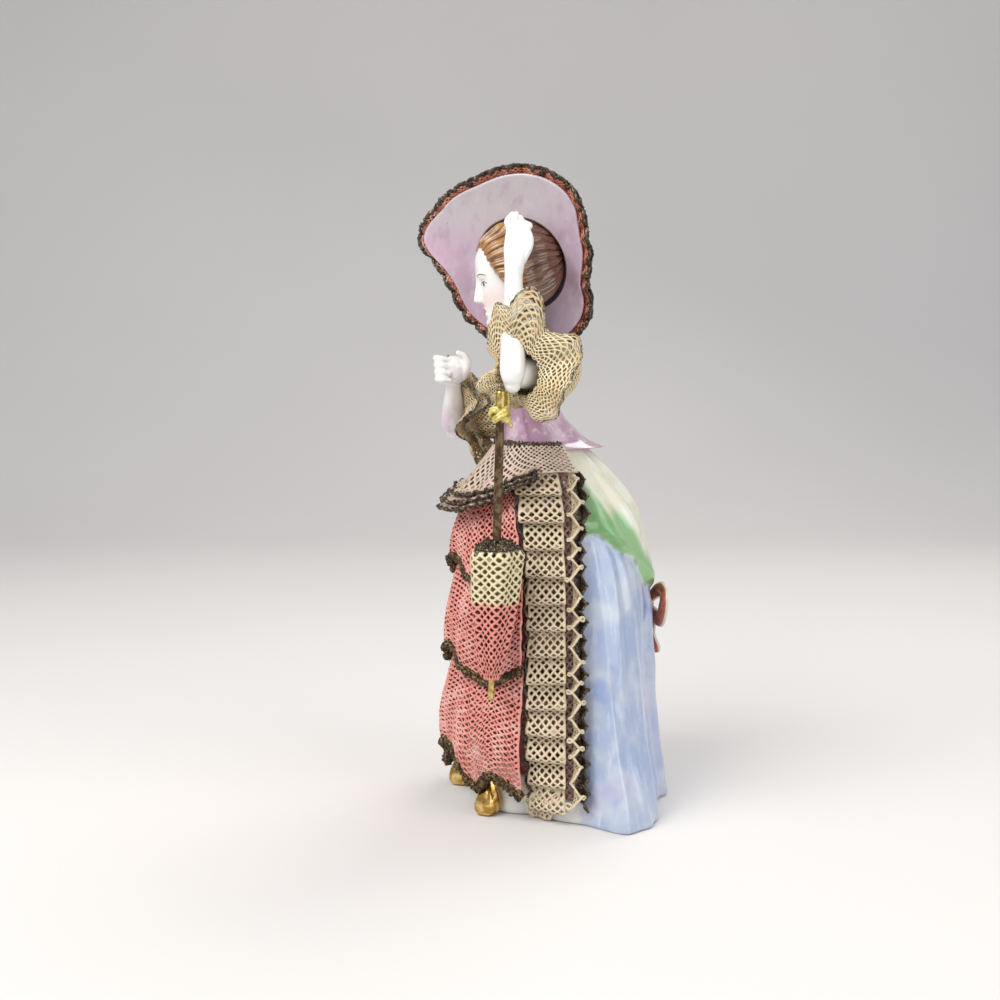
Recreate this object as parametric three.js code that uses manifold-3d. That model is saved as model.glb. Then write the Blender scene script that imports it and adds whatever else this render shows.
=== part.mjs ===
// Lace porcelain figurine: a lady in a wide tilted hat, one arm raised to its brim, with a closed parasol.
// Millimetres, +Z up. She faces -Y with her left side towards +X. The origin is the centre of the underside.
import * as THREE from 'three';
import { mergeVertices } from 'three/addons/utils/BufferGeometryUtils.js';
import Module from 'manifold-3d';

const wasm = await Module();
wasm.setup();

// Driving dimensions
const waistHeight = 120;
const laceThickness = 1.1;
const restGap = 0.35; // clearance between pieces that rest on each other
const headCentre = new THREE.Vector3(0, -14, 177);
const headReach = new THREE.Vector3(13.2, 13.6, 14.6); // half width, half depth and half height of the hair
const headNod = 12; // degrees that the head tips forward
const headTurn = 8; // degrees that the head turns to her right
const hatWall = 1.6;
const rodRadius = 1.3;
const degree = Math.PI / 180;

// Plan of the skirt by height: where its front, back and sides are, measured from its own axis in X
// and from the origin in Y, and where that axis stands in Y
const skirtAxis = [[0, 0], [80, 0], [100, -2], [112, -4.5], [122, -6]];
const skirtFront = [[0, -28.5], [10, -29], [25, -31], [50, -31.5], [75, -31], [95, -29.8],
  [105, -27], [113, -23.5], [122, -17.8]];
const skirtBack = [[0, 37], [10, 36], [25, 34], [50, 31.5], [72, 31.5], [85, 29.5], [95, 26.5],
  [105, 21.5], [113, 15.5], [122, 7]];
const skirtSide = [[0, 35], [10, 34], [25, 32.5], [50, 31], [75, 29.5], [90, 26.5], [100, 23],
  [110, 18], [122, 12.5]];
const trainSpread = [[0, 14], [10, 12], [25, 8], [50, 4.5], [80, 1.5], [100, 0]];
const trainFoldDepth = [[0, 1.5], [40, 1.3], [75, 0.6], [95, 0]];
const hollowBesideFoot = [[0, 5.5], [12, 3], [24, 0]];

// Angles from the front, in degrees, where each side's lace ladder starts and ends, by height
const ladderStart = [[0, 55], [85, 53], [100, 48], [114, 42]];
const ladderEnd = [[0, 86], [85, 87], [100, 95], [114, 106]];

const slots = {
  porcelain: material(0xe9e6dc, 0.18),
  hat: material(0xc3a3b4, 0.3),
  pinkLace: material(0xd98880, 0.6),
  creamLace: material(0xd8cba8, 0.65),
  rustLace: material(0xb5654c, 0.6),
  bronze: material(0x5b4326, 0.35, 0.8),
  giltCord: material(0xd6c05a, 0.5, 0.2),
  bow: material(0xc0562b, 0.25),
};

function material(color, roughness, metalness = 0) {
  return new THREE.MeshStandardMaterial({ color, roughness, metalness });
}

// Smooth curve through [position, value] stations, with slopes from the neighbouring stations
function along(stations, at) {
  const last = stations.length - 1;
  const x = Math.min(Math.max(at, stations[0][0]), stations[last][0]);
  let i = 0;
  while (i < last - 1 && x > stations[i + 1][0]) i += 1;
  const slope = (k) => {
    const a = stations[Math.max(k - 1, 0)];
    const b = stations[Math.min(k + 1, last)];
    return (b[1] - a[1]) / (b[0] - a[0]);
  };
  const [x0, y0] = stations[i];
  const [x1, y1] = stations[i + 1];
  const width = x1 - x0;
  const t = (x - x0) / width;
  const rise = t * t * (3 - 2 * t);
  const leave = t * (1 - t) * (1 - t) * width * slope(i);
  const arrive = t * t * (t - 1) * width * slope(i + 1);
  return y0 + (y1 - y0) * rise + leave + arrive;
}

function smoothstep(from, to, x) {
  const t = Math.min(Math.max((x - from) / (to - from), 0), 1);
  return t * t * (3 - 2 * t);
}

function bump(x, centre, before, after) {
  const width = x < centre ? before : after;
  return Math.exp(-(((x - centre) / width) ** 2));
}

// Radius of the skirt at an angle from the front in degrees and a height
function skirtRadius(angle, z) {
  const axis = along(skirtAxis, z);
  const front = axis - along(skirtFront, z);
  const back = along(skirtBack, z) - axis;
  const side = along(skirtSide, z);
  const turn = Math.abs(((angle + 540) % 360) - 180);
  const depth = turn < 90 ? front : back;
  const oval = 1 / Math.hypot(Math.sin(turn * degree) / side, Math.cos(turn * degree) / depth);
  const corner = along(trainSpread, z) * bump(turn, 100, 10, 24);
  const hollow = along(hollowBesideFoot, z) * bump(turn, 58, 16, 16);
  const folds = along(trainFoldDepth, z) * smoothstep(98, 116, turn) * Math.cos(turn * degree * 9);
  const drapeHem = 94 - 26 * smoothstep(84, 180, turn);
  const drape = 1.8 * smoothstep(drapeHem, drapeHem + 4, z) * smoothstep(84, 92, turn);
  return oval + corner - hollow + folds + drape * smoothstep(waistHeight + 4, waistHeight - 14, z);
}

function skirtPoint(angle, z, standOff = 0) {
  const r = skirtRadius(angle, z) + standOff;
  return new THREE.Vector3(
    r * Math.sin(angle * degree), along(skirtAxis, z) - r * Math.cos(angle * degree), z);
}

// Closed solid from a list of points and triangles, turned right side out
function solidOf(points, triangles) {
  const geometry = new THREE.BufferGeometry();
  const flat = points.flatMap((p) => [p.x, p.y, p.z]);
  geometry.setAttribute('position', new THREE.Float32BufferAttribute(flat, 3));
  geometry.setIndex(triangles.flat());
  const whole = mergeVertices(geometry, 1e-4);
  const corners = whole.attributes.position;
  const p = [0, 1, 2].map(() => new THREE.Vector3());
  let volume = 0;
  for (let i = 0; i < whole.index.count; i += 3) {
    p.forEach((q, k) => q.fromBufferAttribute(corners, whole.index.getX(i + k)));
    volume += p[0].dot(p[1].clone().cross(p[2]));
  }
  const index = Uint32Array.from(whole.index.array);
  if (volume < 0) {
    for (let i = 0; i < index.length; i += 3) [index[i], index[i + 1]] = [index[i + 1], index[i]];
  }
  return new wasm.Manifold(new wasm.Mesh({
    numProp: 3, vertProperties: Float32Array.from(corners.array), triVerts: index,
  }));
}

// Loft through closed rings of equal length, capped at both ends
function loft(rings) {
  const count = rings[0].length;
  const points = rings.flat();
  const triangles = [];
  for (let j = 0; j < rings.length - 1; j += 1) {
    for (let i = 0; i < count; i += 1) {
      const a = j * count + i;
      const b = j * count + ((i + 1) % count);
      triangles.push([a, b, b + count], [a, b + count, a + count]);
    }
  }
  const cap = (ring, start, flip) => {
    const centre = points.length;
    points.push(ring.reduce((sum, q) => sum.add(q), new THREE.Vector3()).divideScalar(count));
    for (let i = 0; i < count; i += 1) {
      const next = start + ((i + 1) % count);
      triangles.push(flip ? [centre, next, start + i] : [centre, start + i, next]);
    }
  };
  cap(rings[0], 0, true);
  cap(rings[rings.length - 1], (rings.length - 1) * count, false);
  return solidOf(points, triangles);
}

// Sheet of even thickness on a surface of two parameters that run from 0 to 1; a wrapped one closes in u.
// A grown one is thicker on both sides and reaches past its free edges
function sheet(surface, across, down, thickness, grow, wrapped = false) {
  const columns = wrapped ? across : across + 1;
  const spill = grow > 0 ? 0.02 : 0;
  const spilled = (t) => (t <= 0 ? -spill : t + (t >= 1 ? spill : 0));
  const faces = [1, -1].map((side) => {
    const grid = [];
    for (let j = 0; j <= down; j += 1) {
      for (let i = 0; i < columns; i += 1) {
        const u = wrapped ? i / across : spilled(i / across);
        const v = Math.max(spilled(j / down), 0);
        grid.push(lifted(surface, u, v, side * (thickness / 2 + grow)));
      }
    }
    return grid;
  });
  const points = faces.flat();
  const back = faces[0].length;
  const at = (i, j) => j * columns + (wrapped ? i % columns : i);
  const triangles = [];
  const quad = (a, b, c, d) => triangles.push([a, b, c], [a, c, d]);
  for (let j = 0; j < down; j += 1) {
    for (let i = 0; i < across; i += 1) {
      const [a, b, c, d] = [at(i, j), at(i + 1, j), at(i + 1, j + 1), at(i, j + 1)];
      quad(a, b, c, d);
      quad(back + a, back + d, back + c, back + b);
    }
  }
  for (let i = 0; i < across; i += 1) {
    quad(at(i + 1, 0), at(i, 0), back + at(i, 0), back + at(i + 1, 0));
    quad(at(i, down), at(i + 1, down), back + at(i + 1, down), back + at(i, down));
  }
  for (let j = 0; j < down && !wrapped; j += 1) {
    quad(at(0, j), at(0, j + 1), back + at(0, j + 1), back + at(0, j));
    quad(at(across, j + 1), at(across, j), back + at(across, j), back + at(across, j + 1));
  }
  return solidOf(points, triangles);
}

function lifted(surface, u, v, distance) {
  const step = 1e-3;
  const alongU = surface(u + step, v).sub(surface(u - step, v));
  const alongV = surface(u, v + step).sub(surface(u, Math.max(v - step, 0)));
  return surface(u, v).addScaledVector(alongU.cross(alongV).normalize(), distance);
}

// Tube through points, each with its own two radii: across a given flat direction, and along it
function limb(points, radii, sides, flat = new THREE.Vector3(1, 0, 0)) {
  const rings = points.map((p, k) => {
    const before = points[Math.max(k - 1, 0)];
    const after = points[Math.min(k + 1, points.length - 1)];
    const tangent = after.clone().sub(before).normalize();
    const thin = flat.clone().addScaledVector(tangent, -flat.dot(tangent)).normalize();
    const wide = tangent.clone().cross(thin);
    const [broad, narrow] = Array.isArray(radii[k]) ? radii[k] : [radii[k], radii[k]];
    return Array.from({ length: sides }, (_, i) => {
      const turn = (i / sides) * 2 * Math.PI;
      return p.clone().addScaledVector(wide, broad * Math.cos(turn))
        .addScaledVector(thin, narrow * Math.sin(turn));
    });
  });
  return loft(rings);
}

function ellipsoid(centre, reach, across, down, turn = new THREE.Matrix4()) {
  const rings = [];
  for (let j = 1; j < down; j += 1) {
    const lift = (-0.5 + j / down) * Math.PI;
    rings.push(Array.from({ length: across }, (_, i) => {
      const a = (i / across) * 2 * Math.PI;
      return new THREE.Vector3(
        reach.x * Math.cos(lift) * Math.cos(a), reach.y * Math.cos(lift) * Math.sin(a),
        reach.z * Math.sin(lift)).applyMatrix4(turn).add(centre);
    }));
  }
  return loft(rings);
}

const point = (x, y, z) => new THREE.Vector3(x, y, z);
const mirrored = (p) => point(-p.x, p.y, p.z);

// The cast lady

const shoulder = point(16, -5, 146);
const leftArm = { elbow: point(38, -27.5, 144), wrist: point(26, -23.4, 176) };
const leftHand = {
  palm: point(22.5, -21.5, 183), knuckles: point(19.5, -20, 189), tips: point(17.5, -19, 194),
};
const rightArm = { elbow: point(-31, -27, 124.5), wrist: point(-18, -31, 138) };
const rightFist = point(-14.5, -32.3, 144.5);

function skirt(grow) {
  const heights = [0, 7, 16, 30, 50, 68, 82, 93, 103, 112, 121];
  const sides = 40;
  return loft(heights.map((z) => Array.from({ length: sides },
    (_, i) => skirtPoint((i / sides) * 360, z, grow))));
}

function bodice(grow) {
  const stations = [ // height, half width, front and back
    [119.5, 13.6, -18.5, 13.2], [121.5, 13, -18.4, 10.8], [125, 12.2, -18.2, 6.6], [129, 11.4, -18, 2.4],
    [134, 11.6, -18.8, 0], [140, 14.4, -20.8, 3.4], [146, 16, -19.5, 5.8], [150, 15, -16, 5],
    [153.5, 9, -13.5, 1], [157, 5.4, -14.5, -4.4], [164, 4.8, -16.5, -6.5],
  ];
  const sides = 16;
  return loft(stations.map(([z, half, front, back]) => Array.from({ length: sides }, (_, i) => {
    const a = (i / sides) * 2 * Math.PI;
    const middle = (front + back) / 2;
    return point((half + grow) * Math.cos(a), middle + ((back - front) / 2 + grow) * Math.sin(a), z);
  })));
}

function headTurned() {
  return new THREE.Matrix4().makeRotationZ(-headTurn * degree)
    .multiply(new THREE.Matrix4().makeRotationX(headNod * degree));
}

function inHead(x, y, z) {
  return point(x, y, z).applyMatrix4(headTurned()).add(headCentre);
}

function head(grow) {
  const wider = point(grow, grow, grow);
  const face = ellipsoid(inHead(0, -3.4, -4), point(9.6, 10.4, 12.6).add(wider), 12, 8, headTurned());
  const nose = limb([inHead(0, -13, 1), inHead(0, -15.4, -4.2), inHead(0, -12.5, -5)],
    [0.6, 1.5, 0.6].map((r) => r + grow), 5);
  const hair = ellipsoid(inHead(0, 2.4, 2), headReach.clone().add(wider), 14, 8, headTurned());
  return face.add(nose).add(hair);
}

function raisedArm(grow) {
  const { elbow, wrist } = leftArm;
  const { palm, knuckles, tips } = leftHand;
  const middle = elbow.clone().lerp(wrist, 0.45);
  const armFlat = point(0, 1, 0);
  const arm = limb(
    [shoulder.clone().setX(11), shoulder.clone().lerp(elbow, 0.5), elbow.clone().lerp(shoulder, 0.1), elbow],
    [8.2, 5.8, 4.4, 3].map((r) => r + grow), 9, armFlat);
  const forearm = limb([elbow.clone().add(point(0, 0, -3)), elbow.clone().add(point(0, 0, 2)), middle, wrist],
    [2.6, 3.9, 3.4, 2.8].map((r) => r + grow), 9, armFlat);
  const handFlat = point(1, -0.4, 0.3);
  const hand = limb([wrist.clone().lerp(elbow, 0.06), wrist.clone().lerp(palm, 0.4), palm, knuckles],
    [[2.8, 2.5], [3.5, 2.3], [4, 1.9], [3.7, 1.5]].map((r) => r.map((w) => w + grow)), 10, handFlat);
  let solid = arm.add(forearm).add(hand);
  for (let finger = 0; finger < 4; finger += 1) {
    const aside = point(0.35, 1.9, 0).multiplyScalar(finger - 1.5);
    const reach = [0.75, 1, 0.95, 0.7][finger];
    const tip = knuckles.clone().lerp(tips, reach).addScaledVector(aside, 0.75);
    solid = solid.add(limb([palm.clone().lerp(knuckles, 0.6).add(aside), knuckles.clone().add(aside), tip],
      [1.1, 1.1, 0.7].map((r) => r + grow), 5, handFlat));
  }
  const thumb = [wrist.clone().lerp(palm, 0.5).add(point(0, 2.5, 0)), palm.clone().add(point(0.4, 4.6, 1)),
    palm.clone().add(point(-0.2, 5.4, 4.6))];
  return solid.add(limb(thumb, [1.5, 1.2, 0.7].map((r) => r + grow), 5, handFlat));
}

function bentArm(grow) {
  const { elbow, wrist } = rightArm;
  const armFlat = point(0, 1, 0);
  const from = mirrored(shoulder);
  const arm = limb(
    [from.clone().setX(-11), from.clone().lerp(elbow, 0.5), elbow.clone().lerp(from, 0.1), elbow],
    [8.2, 6, 4.8, 3.4].map((r) => r + grow), 9, armFlat);
  const forearm = limb([elbow.clone().add(point(-2.5, 0.5, -1.5)), elbow.clone().lerp(wrist, 0.15),
    elbow.clone().lerp(wrist, 0.55), wrist, rightFist],
  [3.2, 4.8, 4, 2.7, 2.6].map((r) => r + grow), 9, armFlat);
  const fist = ellipsoid(rightFist, point(4.2 + grow, 5.4 + grow, 5.4 + grow), 10, 7);
  let solid = arm.add(forearm).add(fist);
  for (let finger = 0; finger < 4; finger += 1) {
    const up = point(-3.2 + finger * 0.8, 0, 3.4 - finger * 2.1);
    const knuckle = rightFist.clone().add(up).add(point(0, -4.6, 0));
    const curl = knuckle.clone().add(point(4.8, -0.4, 0.6));
    solid = solid.add(limb([knuckle, knuckle.clone().lerp(curl, 0.5).add(point(0, -1.2, 0)), curl],
      [1.2, 1.3, 0.9].map((r) => r + grow), 5, point(0, 0, 1)));
  }
  const thumb = [rightFist.clone().add(point(1, 3.4, -1)), rightFist.clone().add(point(2, 5.2, 3.4)),
    rightFist.clone().add(point(2, 4.4, 6.2))];
  return solid.add(limb(thumb, [1.9, 1.6, 1].map((r) => r + grow), 5));
}

function giltShoes(grow) {
  const shoe = point(16.2, -29.4, 4.2);
  return [shoe, mirrored(shoe)]
    .map((centre) => ellipsoid(centre, point(4.3 + grow, 4.8 + grow, 4.4 + grow), 10, 7)
      .add(limb([centre, centre.clone().add(point(0, 0.4, 5)), centre.clone().add(point(0, 1.2, 8))],
        [3.8, 2.6, 1], 8)))
    .reduce((a, b) => a.add(b))
    .intersect(loft([0, 20].map((z) => [[-60, -60], [60, -60], [60, 60], [-60, 60]]
      .map(([x, y]) => point(x, y, z)))));
}

function figure(grow) {
  return skirt(grow).add(giltShoes(grow)).add(bodice(grow)).add(head(grow))
    .add(raisedArm(grow)).add(bentArm(grow));
}

// The hat: a wide brim around her head on a tilted plane, and a round crown behind it

const hatBack = point(-0.697, 0.622, 0.358).normalize(); // from the face side to the crown side
const hatFront = point(0, -1, 0).addScaledVector(hatBack, hatBack.y).normalize();
const hatUp = hatBack.clone().cross(hatFront);
const hatCentre = point(-1.4, -12.8, 178.7);
const crownRadius = 17.3;
const brimDish = 2.6; // how far the brim's inner edge is sunk behind its rim
const frillWaves = 28;
const frillReach = 6;
const frillStandOff = 2.3;

// Rim radius by angle in degrees: 0 at the front, 90 up, 180 at the back and -90 down
const rimReach = [[-180, 21.6], [-150, 26.5], [-120, 26.5], [-90, 26], [-60, 25.5], [-36, 24.4], [-18, 27],
  [0, 34.5], [22, 31.5], [45, 29.4], [70, 29.6], [95, 31.4], [118, 29.2], [140, 24.2], [160, 22],
  [180, 21.6]];

function hatPoint(forward, upward, back) {
  return hatCentre.clone().addScaledVector(hatFront, forward)
    .addScaledVector(hatUp, upward).addScaledVector(hatBack, back);
}

// Brim from the head, at v 0, to its rim, at v 1; u goes once round from the front
function brimPoint(u, v) {
  const turn = u * 2 * Math.PI;
  const rim = along(rimReach, ((u * 360 + 540) % 360) - 180);
  const inner = crownRadius - 1.5;
  const r = inner + (rim - inner) * v;
  return hatPoint(r * Math.cos(turn), r * Math.sin(turn), brimDish * (1 - v * v));
}

function hat(grow) {
  const brim = sheet(brimPoint, 32, 2, hatWall, grow, true);
  const dome = (radius, height, from) => {
    const levels = [from, 0.35 * height, 0.65 * height, 0.88 * height, height];
    return loft(levels.map((level) => {
      const r = radius * Math.sqrt(Math.max(1 - (Math.max(level, 0) / (height * 1.02)) ** 2, 0.01));
      return Array.from({ length: 20 }, (_, i) => {
        const a = (i / 20) * 2 * Math.PI;
        return hatPoint(r * Math.cos(a), r * Math.sin(a), level);
      });
    }));
  };
  return brim.add(dome(crownRadius + hatWall + grow, 19.6 + grow, 1.6)).subtract(dome(crownRadius, 18, -8));
}

// Gathered frill round the rim, on the crown side of the brim
function hatFrill(grow) {
  const frillPoint = (u, v) => {
    const wave = Math.cos(u * frillWaves * 2 * Math.PI);
    const edge = brimPoint(u, 0.8);
    const outward = brimPoint(u, 1).sub(edge).normalize();
    return edge.addScaledVector(hatBack, frillStandOff + v * (1.2 + 1.3 * wave))
      .addScaledVector(outward, (frillReach + 0.5 * wave) * v);
  };
  return sheet(frillPoint, frillWaves * 2, 1, laceThickness, grow, true);
}

// Lace skirts

// Three tiers of pink lace across the front, each draped over the next. A hem is given as its height by
// angle from the front, in degrees
const tiers = [
  { name: 'tier_top', top: 107, hem: [[0, 84], [26, 76], [54, 84]], standOff: 3.4, folds: 4 },
  { name: 'tier_middle', top: 86, hem: [[0, 54], [30, 45], [54, 51]], standOff: 4.6, folds: 5 },
  {
    name: 'tier_bottom', top: 56, hem: [[0, 21], [12, 17], [25, 9], [38, 15], [50, 9], [54, 10]],
    standOff: 6.8, folds: 5,
  },
];

function tierPoint(tier, u, v) {
  const share = 2 * u - 1;
  const edge = along(ladderStart, tier.top) - 1.5;
  const hem = along(tier.hem, Math.abs(share) * edge);
  const z = tier.top + (hem - tier.top) * v;
  const angle = share * (along(ladderStart, z) - 1.5);
  const belly = tier.standOff * Math.sin(Math.min(v, 1) * 0.62 * Math.PI) ** 1.3;
  const folds = 0.9 * v * Math.cos(share * Math.PI * tier.folds + 1.5 * v);
  return skirtPoint(angle, z, restGap + laceThickness + belly * (1 - 0.15 * Math.abs(share)) + folds);
}

const laceTier = (tier) => (grow) => sheet((u, v) => tierPoint(tier, u, v), 24, 4, laceThickness, grow);

// Ladder of pleated cream lace down each side, between the tiers and the train
const rungs = 13;
const ladderTop = 113;
const ladderFoot = 3;

function ladderPoint(side, u, v) {
  const z = ladderTop + (ladderFoot - ladderTop) * v;
  const from = along(ladderStart, z) - 0.2;
  const angle = from + (along(ladderEnd, z) - from) * u;
  const pleat = 0.5 - 0.5 * Math.cos(v * rungs * 2 * Math.PI);
  const edge = 1 + 0.8 * smoothstep(0.62, 1, u);
  return skirtPoint(side * angle, z, restGap + laceThickness + 0.3 + 2.4 * pleat * edge);
}

const laceLadder = (side) => (grow) => sheet((u, v) => ladderPoint(side, side > 0 ? u : 1 - u, v),
  3, rungs * 2, laceThickness, grow);

// Cream lace over the hips, its hem gathered up over the tiers at the front
function hipLace(grow) {
  const surface = (u, v) => {
    const share = 2 * u - 1;
    const frontal = smoothstep(0.75, 0.1, Math.abs(share));
    const z = 121 - (8.5 + 12.5 * frontal) * v;
    const standOff = 2.4 + (2.2 + 4.2 * frontal) * v * v + 0.8 * v * Math.cos(share * Math.PI * 8);
    return skirtPoint(share * 100, z, standOff);
  };
  return sheet(surface, 32, 2, laceThickness, grow);
}

// Lace sleeve: a puff over the upper arm that opens into a petalled flounce round the elbow. It gives the
// flounce's reach by angle in degrees round the arm: 0 is up, and 90 is back for the left arm
const puffWaist = 7.2;
const puffSwell = 3.6;
const flounceFolds = 7;
const flounceSway = 3;

const laceSleeve = (from, elbow, reach) => (grow) => {
  const axis = elbow.clone().sub(from);
  const length = axis.length();
  axis.normalize();
  const up = point(0, 0, 1).addScaledVector(axis, -axis.z).normalize();
  const left = up.clone().cross(axis);
  const surface = (u, v) => {
    const angle = ((u * 360) % 360 + 360) % 360;
    const flare = smoothstep(0.5, 1, v) ** 1.2;
    const puff = puffWaist + puffSwell * Math.sin(Math.min(v / 0.55, 1) * Math.PI) ** 0.8;
    const folds = 1.6 * flare * Math.cos(u * 2 * Math.PI * flounceFolds);
    const r = puff + (along(reach, angle) - puffWaist) * flare + 0.4 * folds;
    const sway = flare * flounceSway * Math.cos(u * 2 * Math.PI * 3);
    const travel = length * (0.08 + 0.84 * Math.min(v / 0.6, 1)) + sway + folds;
    return from.clone().addScaledVector(axis, travel)
      .addScaledVector(up, r * Math.cos(u * 2 * Math.PI))
      .addScaledVector(left, r * Math.sin(u * 2 * Math.PI));
  };
  return sheet(surface, 24, 5, laceThickness, grow, true);
};

const leftReach = [[0, 19], [15, 27], [38, 16], [62, 21.5], [80, 20], [100, 18], [117, 17.5], [138, 18],
  [161, 13], [192, 10.5], [225, 12], [260, 12], [290, 9], [315, 14], [336, 21.5], [346, 22], [360, 19]];
const rightReach = [[0, 20], [60, 15], [120, 16], [180, 20], [240, 15], [300, 14], [360, 20]];

// Porcelain bow on the back of the train: two drooping loops, a knot and two tails
function bow() {
  const z = 64;
  const y = skirtPoint(180, z).y + 1.4;
  const at = (side, x, dy, dz) => point(side * x, y + dy, z + dz);
  const flat = point(0, 1, 0);
  let solid = ellipsoid(at(1, 0, 0.8, 0), point(3, 2.6, 3.4), 10, 7);
  for (const side of [1, -1]) {
    const loop = limb([at(side, 1.5, 0, 0), at(side, 8, 1.2, 5), at(side, 12.5, 0.6, 0.5),
      at(side, 8.5, 1.4, -4.5), at(side, 1.5, 0.4, -0.5)],
    [[1.6, 1.2], [2.9, 1.3], [3, 1.3], [2.9, 1.3], [1.6, 1.2]], 7, flat);
    const tail = limb([at(side, 1.5, 0, -1), at(side, 4.5, 0.6, -8), at(side, 7, 0, -14)],
      [[1.6, 1.2], [2.6, 1.1], [2.2, 1]], 7, flat);
    solid = solid.add(loop).add(tail);
  }
  return solid;
}

// The parasol: a metal rod with a gilt tip, its furled lace canopy and the gilt cord that ties it to her arm

const rodTop = point(38, -31.2, 139.4);
const canopyTop = point(33.5, -31.2, 90.8);
const rodTip = point(31, -32.3, 42.4);

function parasolRod(grow) {
  const collar = canopyTop.clone().lerp(rodTip, 0.8);
  const neck = canopyTop.clone().lerp(rodTop, 0.06);
  return limb([rodTop, neck, canopyTop, collar, rodTip.clone().lerp(collar, 0.2), rodTip],
    [rodRadius, rodRadius, rodRadius, 1, 1.1, 0.5].map((r) => r + grow), 10);
}

function parasolCanopy() {
  const stations = [[0, 6], [0.03, 7.6], [0.12, 7.4], [0.3, 6.8], [0.5, 5.6], [0.7, 3.7], [0.86, 1.9]];
  const sides = 20;
  const rings = stations.map(([t, radius]) => Array.from({ length: sides }, (_, i) => {
    const a = (i / sides) * 2 * Math.PI;
    const r = radius * (1 + 0.09 * Math.cos(5 * a));
    return canopyTop.clone().lerp(rodTip, t).add(point(r * Math.cos(a), r * Math.sin(a), 0));
  }));
  return loft(rings);
}

function parasolTie() {
  const centre = rodTop.clone().lerp(canopyTop, 0.15);
  const end = [centre.clone().add(point(-0.5, 2.2, 1.5)), centre.clone().add(point(-0.4, 2.6, 7))];
  return ellipsoid(centre, point(3.4, 3.4, 3.2), 12, 8).add(limb(end, [0.8, 0.6], 6));
}

function meshOf(name, solid, slot) {
  const mesh = solid.getMesh();
  const geometry = new THREE.BufferGeometry();
  geometry.setAttribute('position', new THREE.BufferAttribute(mesh.vertProperties, 3));
  geometry.setIndex(new THREE.BufferAttribute(mesh.triVerts, 1));
  geometry.computeVertexNormals();
  const object = new THREE.Mesh(geometry, slot);
  object.name = name;
  return object;
}

// Pieces in the order in which they are put on; each is cut clear of those before it
const pieces = [
  ['figure', figure, slots.porcelain],
  ['parasol_rod', parasolRod, slots.bronze],
  ...tiers.map((tier) => [tier.name, laceTier(tier), slots.pinkLace]),
  ['ladder_left', laceLadder(1), slots.creamLace],
  ['ladder_right', laceLadder(-1), slots.creamLace],
  ['hip_lace', hipLace, slots.creamLace],
  ['bow', bow, slots.bow],
  ['parasol_tie', parasolTie, slots.giltCord],
  ['parasol_canopy', parasolCanopy, slots.pinkLace],
  ['sleeve_left', laceSleeve(shoulder, leftArm.elbow, leftReach), slots.creamLace],
  ['sleeve_right', laceSleeve(point(-19, -2, 134), point(-28, -25, 129), rightReach), slots.creamLace],
  ['hat', hat, slots.hat],
  ['hat_frill', hatFrill, slots.rustLace],
];

const figurine = new THREE.Group();
let worn = null;
for (const [name, build, slot] of pieces) {
  const solid = worn ? build(0).subtract(worn) : build(0);
  worn = worn ? worn.add(build(restGap)) : build(restGap);
  figurine.add(meshOf(name, solid, slot));
}

export default figurine;
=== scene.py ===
"""Looks of a lace porcelain figurine: painted and glazed gown, arms, head and hat, net dipped in slip and fired
into open lace, a furled lace parasol, and a plain studio.

Shapes are worked out in millimetres, with +Z up. The lady faces -Y, and her left side is towards +X.
"""

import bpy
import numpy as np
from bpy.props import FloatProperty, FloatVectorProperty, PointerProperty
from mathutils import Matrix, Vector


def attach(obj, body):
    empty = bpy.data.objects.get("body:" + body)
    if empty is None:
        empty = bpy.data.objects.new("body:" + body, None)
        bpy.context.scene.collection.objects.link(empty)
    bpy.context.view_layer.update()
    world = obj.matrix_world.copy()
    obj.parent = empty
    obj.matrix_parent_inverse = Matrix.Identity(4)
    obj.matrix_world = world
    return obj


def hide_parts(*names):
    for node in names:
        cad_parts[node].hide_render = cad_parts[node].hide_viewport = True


bl_info = {
    "name": "Lace porcelain lady",
    "version": (1, 0, 0),
    "blender": (4, 5, 0),
    "location": "View3D > Sidebar > Figurine",
    "description": "Fired lace, painted glaze and a studio for a porcelain lady with a parasol",
    "category": "Object",
}

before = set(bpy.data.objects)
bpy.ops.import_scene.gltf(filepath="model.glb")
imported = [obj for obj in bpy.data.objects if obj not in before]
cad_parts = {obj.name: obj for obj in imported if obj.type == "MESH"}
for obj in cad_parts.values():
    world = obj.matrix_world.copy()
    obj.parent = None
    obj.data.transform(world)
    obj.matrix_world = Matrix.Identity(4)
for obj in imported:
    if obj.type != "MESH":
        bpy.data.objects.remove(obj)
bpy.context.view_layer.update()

MM = 0.001
DEGREE = np.pi / 180
FULL_TURN = 2 * np.pi

# Plan of the skirt by height: front, back and half width, the place of its axis in Y, and the train's spread
SKIRT_AXIS = [[0, 0], [80, 0], [100, -2], [112, -4.5], [122, -6]]
SKIRT_FRONT = [[0, -28.5], [10, -29], [25, -31], [50, -31.5], [75, -31], [95, -29.8],
               [105, -27], [113, -23.5], [122, -17.8]]
SKIRT_BACK = [[0, 37], [10, 36], [25, 34], [50, 31.5], [72, 31.5], [85, 29.5], [95, 26.5],
              [105, 21.5], [113, 15.5], [122, 7]]
SKIRT_SIDE = [[0, 35], [10, 34], [25, 32.5], [50, 31], [75, 29.5], [90, 26.5], [100, 23],
              [110, 18], [122, 12.5]]
TRAIN_SPREAD = [[0, 14], [10, 12], [25, 8], [50, 4.5], [80, 1.5], [100, 0]]
TRAIN_FOLD_DEPTH = [[0, 1.5], [40, 1.3], [75, 0.6], [95, 0]]
HOLLOW_BESIDE_FOOT = [[0, 5.5], [12, 3], [24, 0]]
LADDER_START = [[0, 55], [85, 53], [100, 48], [114, 42]]
LADDER_END = [[0, 86], [85, 87], [100, 95], [114, 106]]
WAIST = 120

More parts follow.
